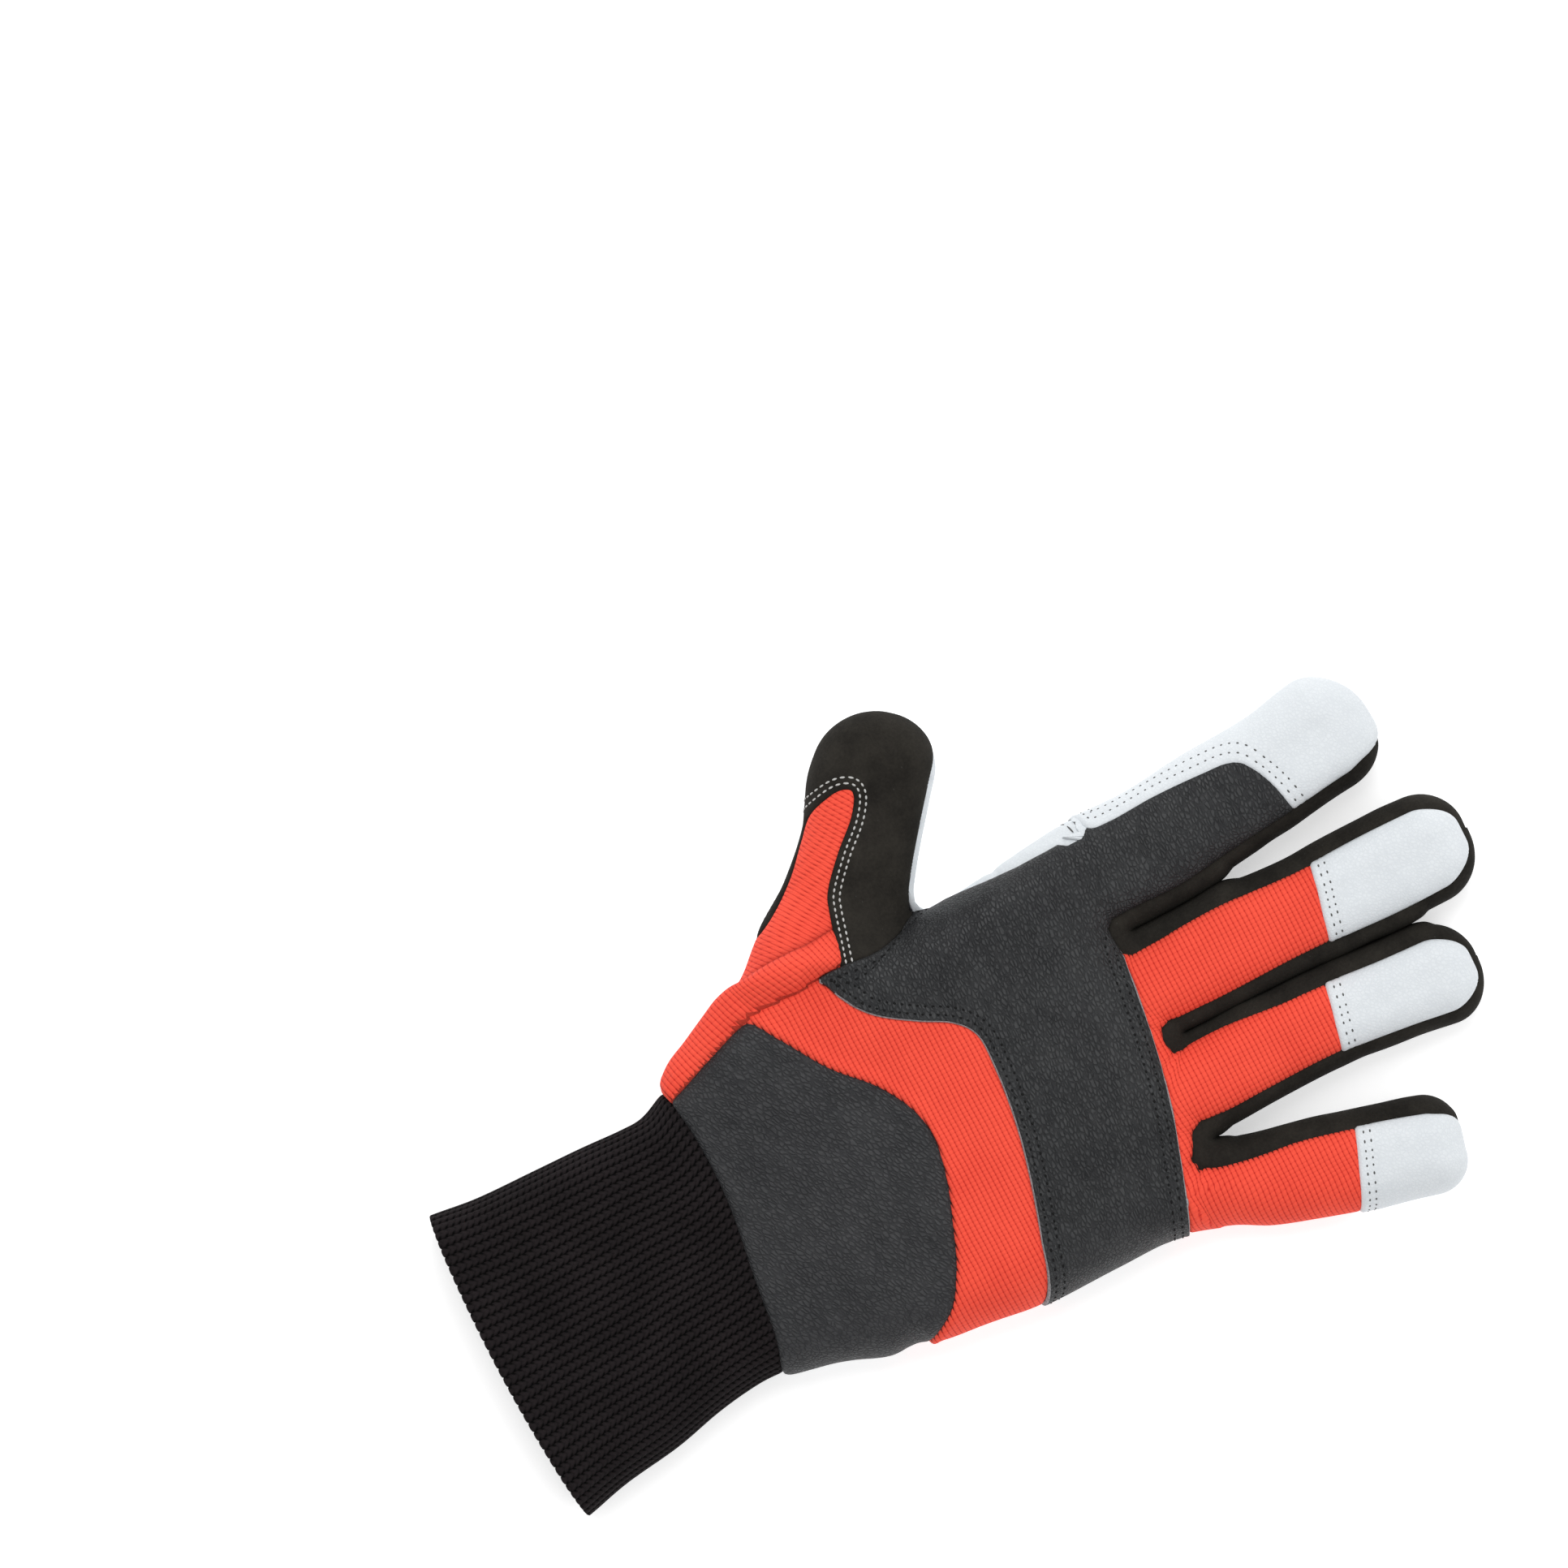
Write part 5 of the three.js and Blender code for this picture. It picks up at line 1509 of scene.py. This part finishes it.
@dataclass
class Stitches:
    """Rows of stitches in one thread, each stitch a small sunk capsule."""

    name: str
    material: bpy.types.Material
    slot: str
    width: float = 0.55
    points: list[Array] = field(default_factory=list)
    faces: list[Array] = field(default_factory=list)
    count: int = 0

    def model(self) -> tuple[Array, Array]:
        """Models one stitch: a small sphere, drawn out and flattened.

        Returns:
            Its points, one unit long along X, and its faces.
        """
        clear_selection()
        bpy.ops.mesh.primitive_uv_sphere_add(segments=6, ring_count=5, radius=0.5)
        bead = bpy.context.active_object
        bpy.ops.object.mode_set(mode="EDIT")
        bpy.ops.mesh.select_all(action="SELECT")
        bpy.ops.transform.rotate(value=math.pi / 2, orient_axis="Y", center_override=(0, 0, 0))
        bpy.ops.mesh.quads_convert_to_tris()
        bpy.ops.object.mode_set(mode="OBJECT")
        points = np.array([vertex.co for vertex in bead.data.vertices])
        faces = np.array([face.vertices for face in bead.data.polygons])
        mesh = bead.data
        bpy.data.objects.remove(bead)
        bpy.data.meshes.remove(mesh)
        return points, faces

    def row(
        self, panel: Panel, path: Array, pitch: float, share: float = 0.66, margin: float = 0.9
    ) -> None:
        """Sews a row along a path.

        Args:
            panel: The piece that it is sewn through.
            path: Points of the flat sheet, close together.
            pitch: The distance from stitch to stitch, in millimetres.
            share: How much of the pitch shows as thread.
            margin: How far inside the piece's borders the row stays.
        """
        if not hasattr(self, "shape"):
            self.shape = self.model()
        form, side = panel.sheet.form, panel.sheet.side
        inside = panel.borders_room(path).min(axis=0) > margin
        edges = np.flatnonzero(np.diff(np.concatenate([[0], inside.astype(int), [0]])))
        for start, stop in zip(edges[::2], edges[1::2]):
            run = path[start:stop]
            steps = np.linalg.norm(np.diff(run, axis=0), axis=1)
            length = np.concatenate([[0.0], np.cumsum(steps)])
            if length[-1] < pitch:
                continue
            number = max(int(length[-1] / pitch), 1)
            half = 0.5 * share * pitch
            middle = (np.arange(number) + 0.5) * length[-1] / number

            def at(where: Array) -> Array:
                """Points along the run."""
                x = np.interp(where, length, run[:, 0])
                y = np.interp(where, length, run[:, 1])
                return np.stack([x, y], 1)

            head, tail, centre = at(middle - half), at(middle + half), at(middle)
            way = tail - head
            aside = centre + np.stack([-way[:, 1], way[:, 0]], 1) * 0.5
            lift = panel.lift(centre)
            spots = [form.laid(q, side, lift) for q in (head, tail, centre, aside)]
            x = spots[1] - spots[0]
            size = np.linalg.norm(x, axis=1)[:, None]
            x = x / size
            y = spots[3] - spots[2]
            y = y - (y * x).sum(axis=1)[:, None] * x
            y = y / np.linalg.norm(y, axis=1)[:, None]
            z = np.cross(x, y) * side.value
            shape, faces = self.shape
            arch = 1 - (2 * shape[:, 0]) ** 2
            sunk = shape[:, 2] * self.width * 0.8 + 0.2 * self.width * arch - 0.06
            body = (
                spots[2][:, None]
                + x[:, None] * (shape[:, 0] * 1.06)[None, :, None] * size[:, None]
                + y[:, None] * (shape[:, 1] * self.width)[None, :, None]
                + z[:, None] * sunk[None, :, None]
            )
            numbers = np.arange(number)[:, None, None] * len(shape) + faces[None]
            self.points.append(body.reshape(-1, 3))
            self.faces.append(numbers.reshape(-1, 3) + self.count)
            self.count += number * len(shape)

    def build(self, form: GloveForm) -> bpy.types.Object:
        """Makes the object of all the rows."""
        points = form.metres(np.concatenate(self.points))
        thing = make_object(self.name, points, [np.concatenate(self.faces)], [self.material])
        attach(thing, "root")
        return thing


@dataclass
class Glove:
    """The whole glove: its pieces, their order and their finishes."""

    form: GloveForm
    finishes: Finishes
    back_cell: float = 0.62
    palm_cell: float = 0.85
    leather_wall: float = 1.3
    knit_wall: float = 1.2
    strip_wall: float = 1.1
    strip_margin: float = 1.2
    panels: dict[str, Panel] = field(default_factory=dict)
    threads: dict[str, Stitches] = field(default_factory=dict)

    def __post_init__(self) -> None:
        """Rules the two flat sheets."""
        self.back = FlatSheet(self.form, Side.BACK, self.back_cell)
        self.palm = FlatSheet(self.form, Side.PALM, self.palm_cell)

    def add(self, panel: Panel) -> Panel:
        """Builds a panel, hides the CAD node of its name and lets it ride on the glove."""
        thing = panel.build()
        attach(thing, "root")
        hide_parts(panel.name)
        self.panels[panel.name] = panel
        log.info("%s: %d faces", panel.name, len(thing.data.polygons))
        return panel

    def knit_cloth(self, p: Array) -> Array:
        """Where points lie on the back band's knit, whose ribs slant on the roll."""
        crease = self.form.seams["crease"].measure(p)[0]
        low = p[:, 1] < self.form.cuff_length + 0.5 * self.form.palm_length
        return np.where(((crease < 0) & low & (p[:, 0] < -35))[:, None], self.turned(p, 14), p)

    def insert_cloth(self, p: Array) -> Array:
        """Where points lie on the thumb's insert, whose ribs fan out towards the tip."""
        share = smoothstep(p[:, 1], self.form.cuff_length + 30, self.form.cuff_length + 85)[:, None]
        return lerp(self.turned(p, 47), self.turned(p, 28), share)

    @staticmethod
    def turned(p: Array, angle: float) -> Array:
        """Points in axes turned by an angle in degrees."""
        c, s = math.cos(math.radians(angle)), math.sin(math.radians(angle))
        return np.stack([p[:, 0] * c + p[:, 1] * s, -p[:, 0] * s + p[:, 1] * c], 1)

    def back_pieces(self) -> None:
        """The pieces on the back of the hand."""
        form, finishes, back = self.form, self.finishes, self.back
        seams = form.seams

        def rows(name: str, keep: int, first: float, second: float) -> Relief:
            """Two shallow grooves where rows of stitches pull a patch down."""

            def relief(p: Array) -> Array:
                """The grooves' heights."""
                room = keep * back.room(name, p)
                return -0.16 * bell(room - first, 0.5) - 0.16 * bell(room - second, 0.5)

            return relief

        def wrist_relief(p: Array) -> Array:
            """Soft slanting wrinkles in the wrist shield."""
            soft = form.waves.at(p, 30, 9, 28)
            return 0.35 * soft * smoothstep(seams["wrist_patch"].measure(p)[0] * -1, 1, 10)

        def knuckle_relief(p: Array) -> Array:
            """Stitched grooves along both edges of the knuckle patch, and soft wrinkles."""
            soft = form.waves.at(p, 40, 14, 75)
            grooves = rows("knuckle_edge", 1, 2.0, 4.2)(p) + rows("knuckle_top", -1, 2.0, 4.4)(p)
            return grooves + 0.18 * soft

        def beside_knit(p: Array) -> Array:
            """Where the knuckle patch's cut edge lies on orange knit."""
            low = p[:, 1] < form.cuff_length + 0.43 * form.palm_length
            return low | (p[:, 0] > -0.45 * form.palm_width)

        def band_relief(p: Array) -> Array:
            """The roll of loose knit, with a sharp crease on each side."""
            low = -seams["crease"].measure(p)[0]
            high = seams["thumb_side"].measure(p)[0]
            share = np.clip(low / np.maximum(low + high, 0.1), 0, 1)
            along = (p[:, 1] - form.cuff_length) / form.palm_length
            ends = smoothstep(along, -0.02, 0.08) * (1 - smoothstep(along, 0.44, 0.53))
            swell = 1.9 * np.sqrt(np.maximum(1 - (2 * share - 1) ** 2, 0))
            return ends * (swell - 0.7 * bell(low, 0.6)) + 0.2 * form.waves.at(p, 14, 9, 40)

        sewn, raw, turned, under = Edge.SEWN, Edge.RAW, Edge.TURNED, Edge.UNDER
        black = [finishes.knuckle_leather, finishes.cut_edge]
        outline = Border("outline", 1, sewn)
        wrist = Border("wrist_back", 1, Edge.CUFF)
        self.add(Panel(
            "wrist_patch", back,
            [Border("wrist_patch", -1, sewn), outline, wrist, Border("knuckle_edge", -1, None)],
            self.leather_wall, 0.5, [finishes.wrist_leather], "black_leather", relief=wrist_relief,
        ))
        self.add(Panel(
            "back_band", back,
            [Border("wrist_patch", 1, Edge.PUFFED), outline, wrist, Border("knuckle_edge", -1, under),
             Border("thumb_knit", -1, under), Border("thumb_side", 1, sewn)],
            self.knit_wall, 0.1, [finishes.orange], "orange_knit", relief=band_relief, cloth=self.knit_cloth,
        ))
        self.add(Panel(
            "thumb_knit", back,
            [Border("thumb_side", -1, sewn), outline, wrist, Border("thumb_knit", -1, under)],
            self.knit_wall, 0.0, [finishes.orange], "orange_knit", cloth=self.insert_cloth,
        ))
        self.add(Panel(
            "thumb_back", back,
            [Border("thumb_knit", 1, turned), outline, Border("knuckle_edge", -1, under)],
            self.leather_wall, 0.4, [finishes.microfibre], "black_microfibre",
        ))
        self.add(Panel(
            "knuckle_patch", back,
            [Border("knuckle_edge", 1, raw), Border("knuckle_top", -1, raw),
             Border("index_edge", -1, under), outline],
            self.leather_wall, 0.85, black, "black_leather", relief=knuckle_relief, pale=beside_knit,
        ))
        self.add(Panel(
            "index_wrap", back,
            [Border("index_edge", 1, turned), Border("wrap_outline", 1, sewn),
             Border("knuckle_top", -1, None), Border("knuckle_edge", 1, None)],
            self.leather_wall, 0.9, [finishes.white_leather], "white_leather",
            relief=rows("index_edge", 1, 2.0, 4.1),
        ))

        backs = Panel(
            "finger_backs", back,
            [Border("knuckle_top", 1, under), outline, Border("tips", -1, under)],
            self.knit_wall, 0.1, [finishes.orange], "orange_knit",
        )
        self.add(backs)
        for name in ("middle", "ring", "little"):
            self.add(Panel(
                name + "_tip", back, [Border(name + "_tip", 1, turned), outline],
                self.leather_wall, 0.65, [finishes.white_leather], "white_leather", only=name,
                relief=rows(name + "_tip", 1, 2.0, 3.6),
            ))

    def palm_pieces(self) -> None:
        """The pieces on the palm side."""
        form, finishes, palm = self.form, self.finishes, self.palm
        seams = form.seams
        white = [finishes.white_leather]

        def quilt(p: Array) -> Array:
            """The grooves of the stitched edges and of the quilting rows."""
            top = -seams["palm_top"].measure(p)[0]
            beside = seams["thumb_seam"].measure(p)[0]
            total = form.patch_step * form.under_patch(p)
            total = total - 0.2 * (bell(top - 2.5, 0.5) + bell(top - 4.5, 0.5))
            total = total - 0.2 * (bell(beside - 1.7, 0.5) + bell(beside - 3.8, 0.5))
            for row in self.quilting():
                away = row.measure(p)[0]
                total = total - 0.45 * bell(away, 1.5) - 0.25 * bell(away, 0.4)
            return total

        outline = Border("outline", 1, Edge.SEWN)
        wrist = Border("wrist_palm", 1, Edge.CUFF)
        self.add(Panel(
            "thumb_front", palm, [Border("thumb_seam", -1, Edge.UNDER), outline, wrist],
            self.leather_wall, 0.0, white, "white_leather",
        ))
        self.add(Panel(
            "palm_front", palm,
            [Border("palm_top", 1, Edge.UNDER), outline, Border("thumb_seam", 1, None)],
            self.leather_wall, 0.0, white, "white_leather",
        ))
        self.add(Panel(
            "palm_patch", palm,
            [Border("thumb_seam", 1, Edge.TURNED), Border("palm_top", -1, Edge.TURNED), outline, wrist],
            self.leather_wall, 0.1, white, "white_leather", relief=quilt,
        ))

    def quilting(self) -> list[SeamLine]:
        """The four quilting rows across the palm patch."""
        rows = [
            [(-0.42, 0.83), (-0.17, 0.79), (0.06, 0.765), (0.3, 0.725), (0.6, 0.65)],
            [(-0.42, 0.645), (-0.2, 0.62), (0.0, 0.585), (0.23, 0.53), (0.6, 0.42)],
            [(-0.345, 0.39), (-0.1, 0.36), (0.1, 0.31), (0.33, 0.255), (0.6, 0.185)],
            [(-0.345, 0.16), (0.0, 0.11), (0.23, 0.055), (0.6, -0.03)],
        ]
        if not hasattr(self, "_quilting"):
            self._quilting = [SeamLine(np.array([self.form.palm_point(*p) for p in row])) for row in rows]
        return self._quilting

    def strips(self) -> None:
        """The black strips between the fingers."""
        form = self.form
        pairs = (("index", "middle"), ("middle", "ring"), ("ring", "little"))
        for first, second in pairs:
            finger, following = form.fingers[first], form.fingers[second]
            at, into = form.follow_outline(finger.tip(), following.tip(), 0.5)
            for _ in range(3):
                into[1:-1] = 0.25 * into[:-2] + 0.5 * into[1:-1] + 0.25 * into[2:]
            into = into / np.linalg.norm(into, axis=1)[:, None]
            angles = form.seam_angles(at + into * 2)
            _, back, palm = form.halves(at)
            start = angles[:, 0] - 90 * (self.strip_margin + 0.3) / back.near
            stop = angles[:, 1] + 90 * (self.strip_margin + 0.3) / palm.near
            wide = angles[:, 1] - angles[:, 0] > 12
            at, into, start, stop = at[wide], into[wide], start[wide], stop[wide]
            back_near, palm_near = back.near[wide], palm.near[wide]
            rows = 32
            t = np.linspace(0, 1, rows)
            t = 0.5 * t + 0.5 * smoothstep(t, 0, 1)
            angle = start[:, None] + (stop - start)[:, None] * t
            from_back = (angle - start[:, None]) * back_near[:, None] / 90
            from_palm = (stop[:, None] - angle) * palm_near[:, None] / 90
            room = np.minimum(from_back, from_palm) - self.strip_margin
            lift = 0.35 * smoothstep(room, 0.5, 4) - 0.95 * np.exp(-np.maximum(room, 0) / 0.75)
            lift = lift - 0.9 * smoothstep(-room, 0, 0.7)
            count = len(at)
            run = np.concatenate([[0.0], np.cumsum(np.linalg.norm(np.diff(at, axis=0), axis=1))])
            flat = np.stack([np.repeat(run, rows), from_back.ravel()], 1)
            lift = lift + 0.25 * form.waves.at(flat, 9, 5, 15).reshape(count, rows) * smoothstep(room, 0.3, 2)
            lift = lift + self.touching(at, into)[:, None] * smoothstep(room, 0.2, 3.2)

            def layer(drop: float) -> Array:
                """The strip's points, moved in by a drop."""
                spots = [np.repeat(at, rows, axis=0), np.repeat(into, rows, axis=0)]
                return form.on_edge(*spots, angle.ravel(), lift.ravel() - drop)

            points = np.concatenate([layer(0.0), layer(self.strip_wall)])
            number = np.arange(count * rows).reshape(count, rows)
            a, b, c, d = number[:-1, :-1], number[:-1, 1:], number[1:, 1:], number[1:, :-1]
            outer = np.stack([a, d, c, b], -1).reshape(-1, 4)
            more = count * rows
            inner = outer[:, ::-1] + more
            loop = np.concatenate([number[0, :], number[1:, -1], number[-1, -2::-1], number[-2:0:-1, 0]])
            after = np.roll(loop, -1)
            rim = np.stack([loop, loop + more, after + more, after], 1)
            blocks = [outer, rim[:, ::-1], inner]
            name = f"fourchette_{first}_{second}"
            place = np.concatenate([flat, flat]) / 1000
            values = {"seam": np.clip(np.tile(room.ravel(), 2), 0, 20)}
            thing = make_object(
                "sewn_" + name, form.metres(points), blocks, [self.finishes.microfibre], None, place, values
            )
            fix_normals(thing)
            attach(thing, "root")
            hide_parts(name)
            log.info("%s: %d faces", name, len(thing.data.polygons))

    def touching(self, at: Array, into: Array) -> Array:
        """How far a strip swells until it meets the next finger's, beside the webs.

        Args:
            at: Points of the outline.
            into: The way in from each.

        Returns:
            One distance for each point, in millimetres.
        """
        reach = np.arange(0.1, 3.2, 0.1)
        cloud = at[None] - into[None] * reach[:, None, None]
        found = self.form.depth(cloud.reshape(-1, 2)).reshape(len(reach), len(at))
        half = reach[found.argmin(axis=0)]
        swell = (half + 0.12) * (1 - smoothstep(half, 1.15, 1.9))
        padded = np.pad(swell, 4, mode="edge")
        swell = np.max([padded[i : i + len(swell)] for i in range(9)], axis=0)
        for _ in range(4):
            swell[1:-1] = 0.25 * swell[:-2] + 0.5 * swell[1:-1] + 0.25 * swell[2:]
        return np.maximum(swell - 0.25, 0)

    def stitching(self) -> None:
        """The rows of stitches."""
        form, panels, finishes = self.form, self.panels, self.finishes
        seams = form.seams
        black = Stitches("stitches_black", finishes.black_thread, "black_leather", 0.62)
        grey = Stitches("stitches_grey", finishes.grey_thread, "white_leather", 0.5)
        pale = Stitches("stitches_pale", finishes.pale_thread, "black_microfibre", 0.55)
        patch = panels["knuckle_patch"]
        for away in (2.0, 4.2):
            black.row(patch, seams["knuckle_edge"].beside(away), 2.0, 0.4)
            black.row(patch, form.unseen(seams["knuckle_top"].beside(-away - 0.1)), 2.0, 0.4)
            grey.row(panels["index_wrap"], seams["index_edge"].beside(away), 2.1, 0.34)
        for name in ("middle", "ring", "little"):
            for away in (2.0, 3.7):
                grey.row(panels[name + "_tip"], seams[name + "_tip"].beside(away), 1.9, 0.36)
        for away in (1.5, 3.1):
            pale.row(panels["thumb_back"], form.unseen(seams["thumb_knit"].beside(away)), 1.7)
        for away in (2.5, 4.5):
            grey.row(panels["palm_patch"], seams["palm_top"].beside(-away), 2.2)
        for away in (1.7, 3.8):
            grey.row(panels["palm_patch"], seams["thumb_seam"].beside(away), 2.2)
        for row in self.quilting():
            grey.row(panels["palm_patch"], row.beside(0.0), 2.6, margin=2.0)
        for thread in (black, grey, pale):
            thing = thread.build(form)
            log.info("%s: %d faces", thing.name, len(thing.data.polygons))


def fix_normals(thing: bpy.types.Object) -> None:
    """Turns a closed mesh's faces outwards."""
    clear_selection()
    thing.select_set(True)
    bpy.context.view_layer.objects.active = thing
    bpy.ops.object.mode_set(mode="EDIT")
    bpy.ops.mesh.select_all(action="SELECT")
    bpy.ops.mesh.normals_make_consistent(inside=False)
    bpy.ops.object.mode_set(mode="OBJECT")
    clear_selection()


@dataclass
class RibCuff:
    """The rib-knit cuff, a tube of ribs that runs from the scalloped hem up under the body's edge."""

    form: GloveForm
    material: bpy.types.Material
    ribs: int = 76
    rib_height: float = 0.65
    wall: float = 2.2
    hem_sag: float = 2.6
    rows: int = 84
    tuck: float = 3.5

    def top(self, x: Array, above: Array) -> Array:
        """The height of the cuff's seam above the hem, on the back or on the palm side."""
        probe = np.stack([x, np.full(len(x), self.form.cuff_length)], 1)
        back = self.form.seams["wrist_back"].measure(probe)[0]
        palm = self.form.seams["wrist_palm"].measure(probe)[0]
        return self.form.cuff_length - np.where(above, back, palm)

    def ring(self, turn: Array, along: Array, inset: Array, reach: float) -> Array:
        """Points round the tube.

        Args:
            turn: Shares of the way round, from the left edge over the back.
            along: Shares of the way from the hem to the seam, one for each point.
            inset: How far each point stands inside the outer face.
            reach: How far past the seam the tube's end goes.

        Returns:
            Points in space, in millimetres.
        """
        form = self.form
        width = form.palm_width
        left_top = self.top(np.array([-0.43 * width]), np.array([True]))[0]
        right_top = self.top(np.array([0.35 * width]), np.array([True]))[0]
        left = -form.thumb_edge(along * left_top) * width
        right = form.little_edge(along * right_top) * width
        middle = np.stack([(left + right) / 2, along * form.cuff_length], 1)
        widest, back, palm = form.halves(middle)
        quarter = math.pi / 4
        back_arc = quarter * (back.roll + back.tall)
        palm_arc = quarter * (palm.roll + palm.tall)
        lengths = np.stack([
            back_arc, right - left - 2 * back.roll, back_arc,
            palm_arc, right - left - 2 * palm.roll, palm_arc,
        ])
        ends = np.cumsum(lengths, axis=0)
        way = turn * ends[-1]
        k = (way[None] > ends).sum(axis=0).clip(0, 5)
        before = np.where(k > 0, np.take_along_axis(ends, np.maximum(k - 1, 0)[None], 0)[0], 0.0)
        own = np.take_along_axis(lengths, k[None], 0)[0]
        way = way - before
        upper = k < 3
        roll = np.where(upper, back.roll, palm.roll)
        tall = np.where(upper, back.tall, palm.tall)
        up = np.where(upper, 1.0, -1.0)
        side = np.where((k == 0) | (k == 5), -1.0, 1.0)
        corner = np.where(side < 0, left + roll, right - roll)
        climb = np.where((k == 0) | (k == 3), way / own, 1 - way / own)
        flat = (k == 1) | (k == 4)
        turned = np.where(flat, math.pi / 2, math.pi / 2 * climb)
        slid = np.where(k == 1, left + roll + way, right - roll - way)
        x = np.where(flat, slid, corner + side * roll * np.cos(turned))
        out_x, out_z = side * np.cos(turned) / roll, up * np.sin(turned) / tall
        size = np.hypot(out_x, out_z)
        hem = (along - 1) * self.hem_sag * (1 - (x / (0.45 * width)) ** 2)
        y = along * (self.top(x, upper) + reach) + hem
        z = widest + up * tall * np.sin(turned) - inset * out_z / size
        return np.column_stack([x - inset * out_x / size, y, z])

    def build(self) -> bpy.types.Object:
        """Makes the cuff.

        Returns:
            The object.
        """
        marks = np.array([-1.0, -0.84, -0.6, -0.3, 0.0, 0.3, 0.6, 0.84]) / 2 + 0.5
        around = (np.arange(self.ribs)[:, None] + marks[None]).ravel()
        phase = np.tile(marks * 2 - 1, self.ribs)
        count = len(around)
        shares = np.linspace(0, 1, self.rows)
        layers = []
        cloth = []
        crest = np.sqrt(np.maximum(1 - np.abs(phase) ** 2.2, 0))

        def add(share: float, drop: Array, extra: float = 0.0, stretch: float = 0.0) -> None:
            """Adds one ring of points."""
            along = np.full(count, share)
            spot = np.stack([around * 2.6, np.full(count, share * self.form.cuff_length)], 1)
            sway = 0.16 * self.form.waves.at(spot, 60, 22, 0) + 0.05 * self.form.waves.at(spot, 20, 6, 0)
            ring = self.ring(((around + sway * (1 - share * 0.3)) / self.ribs) % 1.0, along, drop, self.tuck)
            ring[:, 1] -= extra + stretch * crest
            layers.append(ring)
            cloth.append(np.stack([around / 100, np.full(count, share * 0.068 + 0.1)], 1))

        ribbed = self.rib_height * (1 - crest)
        seam_dip = 1.6 * smoothstep(shares, 0.93, 0.99)
        add(0.0, np.full(count, self.wall), -1.0)
        add(0.0, np.full(count, self.wall * 0.8), 0.15, 0.25)
        add(0.0, ribbed + 0.75, 0.4, 0.4)
        add(0.0, ribbed + 0.25, 0.3, 0.35)
        for share, dip in zip(shares, seam_dip):
            add(share, ribbed + dip, 0.0, 0.3 * max(1 - share * 25, 0))
        for share in np.linspace(1, 0.02, 12):
            add(share, np.full(count, self.wall + 1.6 * smoothstep(np.array([share]), 0.93, 0.99)[0]))
        total = len(layers)
        points = np.concatenate(layers)
        number = np.arange(total * count).reshape(total, count)
        following = np.roll(number, -1, axis=1)
        upper = np.roll(number, -1, axis=0)
        corner = np.roll(following, -1, axis=0)
        faces = np.stack([number, following, corner, upper], -1).reshape(-1, 4)
        thing = make_object(
            "knitted_cuff", self.form.metres(points), [faces], [self.material], None, np.concatenate(cloth)
        )
        fix_normals(thing)
        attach(thing, "root")
        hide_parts("cuff_rib")
        log.info("cuff_rib: %d faces", len(thing.data.polygons))
        return thing


@dataclass
class Studio:
    """The pale floor, the soft light and the camera straight above."""

    frame_width: float = 0.411
    centre: tuple[float, float] = (-0.0846, -0.0077)
    right: tuple[float, float] = (0.46947, 0.88295)
    height: float = 2.6

    def camera(self) -> None:
        """Sets up the camera, which looks straight down with the photograph's turn."""
        data = bpy.data.cameras.new("camera")
        thing = bpy.data.objects.new("camera", data)
        bpy.context.scene.collection.objects.link(thing)
        x, y = self.right
        thing.rotation_euler = Matrix(((x, -y, 0), (y, x, 0), (0, 0, 1))).to_euler()
        thing.location = (*self.centre, self.height)
        data.sensor_width = 36.0
        data.lens = 36.0 * (self.height - 0.012) / self.frame_width
        bpy.context.scene.camera = thing

    def floor(self) -> None:
        """Lays the floor."""
        clear_selection()
        bpy.ops.mesh.primitive_plane_add(size=6.0, location=(0, 0, -0.0002))
        ground = bpy.context.active_object
        ground.name = "floor"
        bpy.ops.object.mode_set(mode="EDIT")
        bpy.ops.mesh.subdivide(number_cuts=3)
        bpy.ops.object.mode_set(mode="OBJECT")
        shade = Shade("floor_paper")
        speck = shade.noise(0.004, 2.0)
        ground.data.materials.append(shade.finish(
            Base_Color=shade.mix(speck, (0.93, 0.93, 0.93, 1), (0.95, 0.95, 0.95, 1)), Roughness=0.95,
            Emission_Color=(1.0, 1.0, 1.0, 1.0), Emission_Strength=0.45, Specular_IOR_Level=0.1,
        ))
        clear_selection()

    def light(self, name: str, place: tuple[float, float, float], size: float, power: float) -> None:
        """Hangs a square soft light that looks at the glove."""
        data = bpy.data.lights.new(name, "AREA")
        data.size = size
        data.energy = power
        thing = bpy.data.objects.new(name, data)
        thing.location = place
        x, y, z = place
        length = math.sqrt(x * x + y * y + z * z)
        thing.rotation_euler = (0.0, math.acos(z / length), math.atan2(y, x))
        bpy.context.scene.collection.objects.link(thing)

    def build(self) -> None:
        """Sets up the camera first, then the floor, the lights and the pale surroundings."""
        self.camera()
        self.floor()
        self.light("key", (-1.1, 0.3, 1.7), 1.6, 22.0)
        self.light("fill", (0.9, 0.9, 1.6), 1.8, 8.0)
        bpy.context.scene.view_settings.view_transform = "Standard"
        world = bpy.data.worlds.new("studio")
        world.use_nodes = True
        world.node_tree.nodes["Background"].inputs[0].default_value = (1.0, 1.0, 1.0, 1.0)
        world.node_tree.nodes["Background"].inputs[1].default_value = 0.55
        bpy.context.scene.world = world


def main() -> None:
    """Builds the scene in order."""
    logging.basicConfig(level=logging.INFO, format="%(message)s")
    Studio().build()
    form = GloveForm()
    finishes = Finishes()
    glove = Glove(form, finishes)
    RibCuff(form, finishes.rib_knit).build()
    glove.back_pieces()
    glove.palm_pieces()
    glove.strips()
    glove.stitching()


if __name__ == "__main__":
    main()
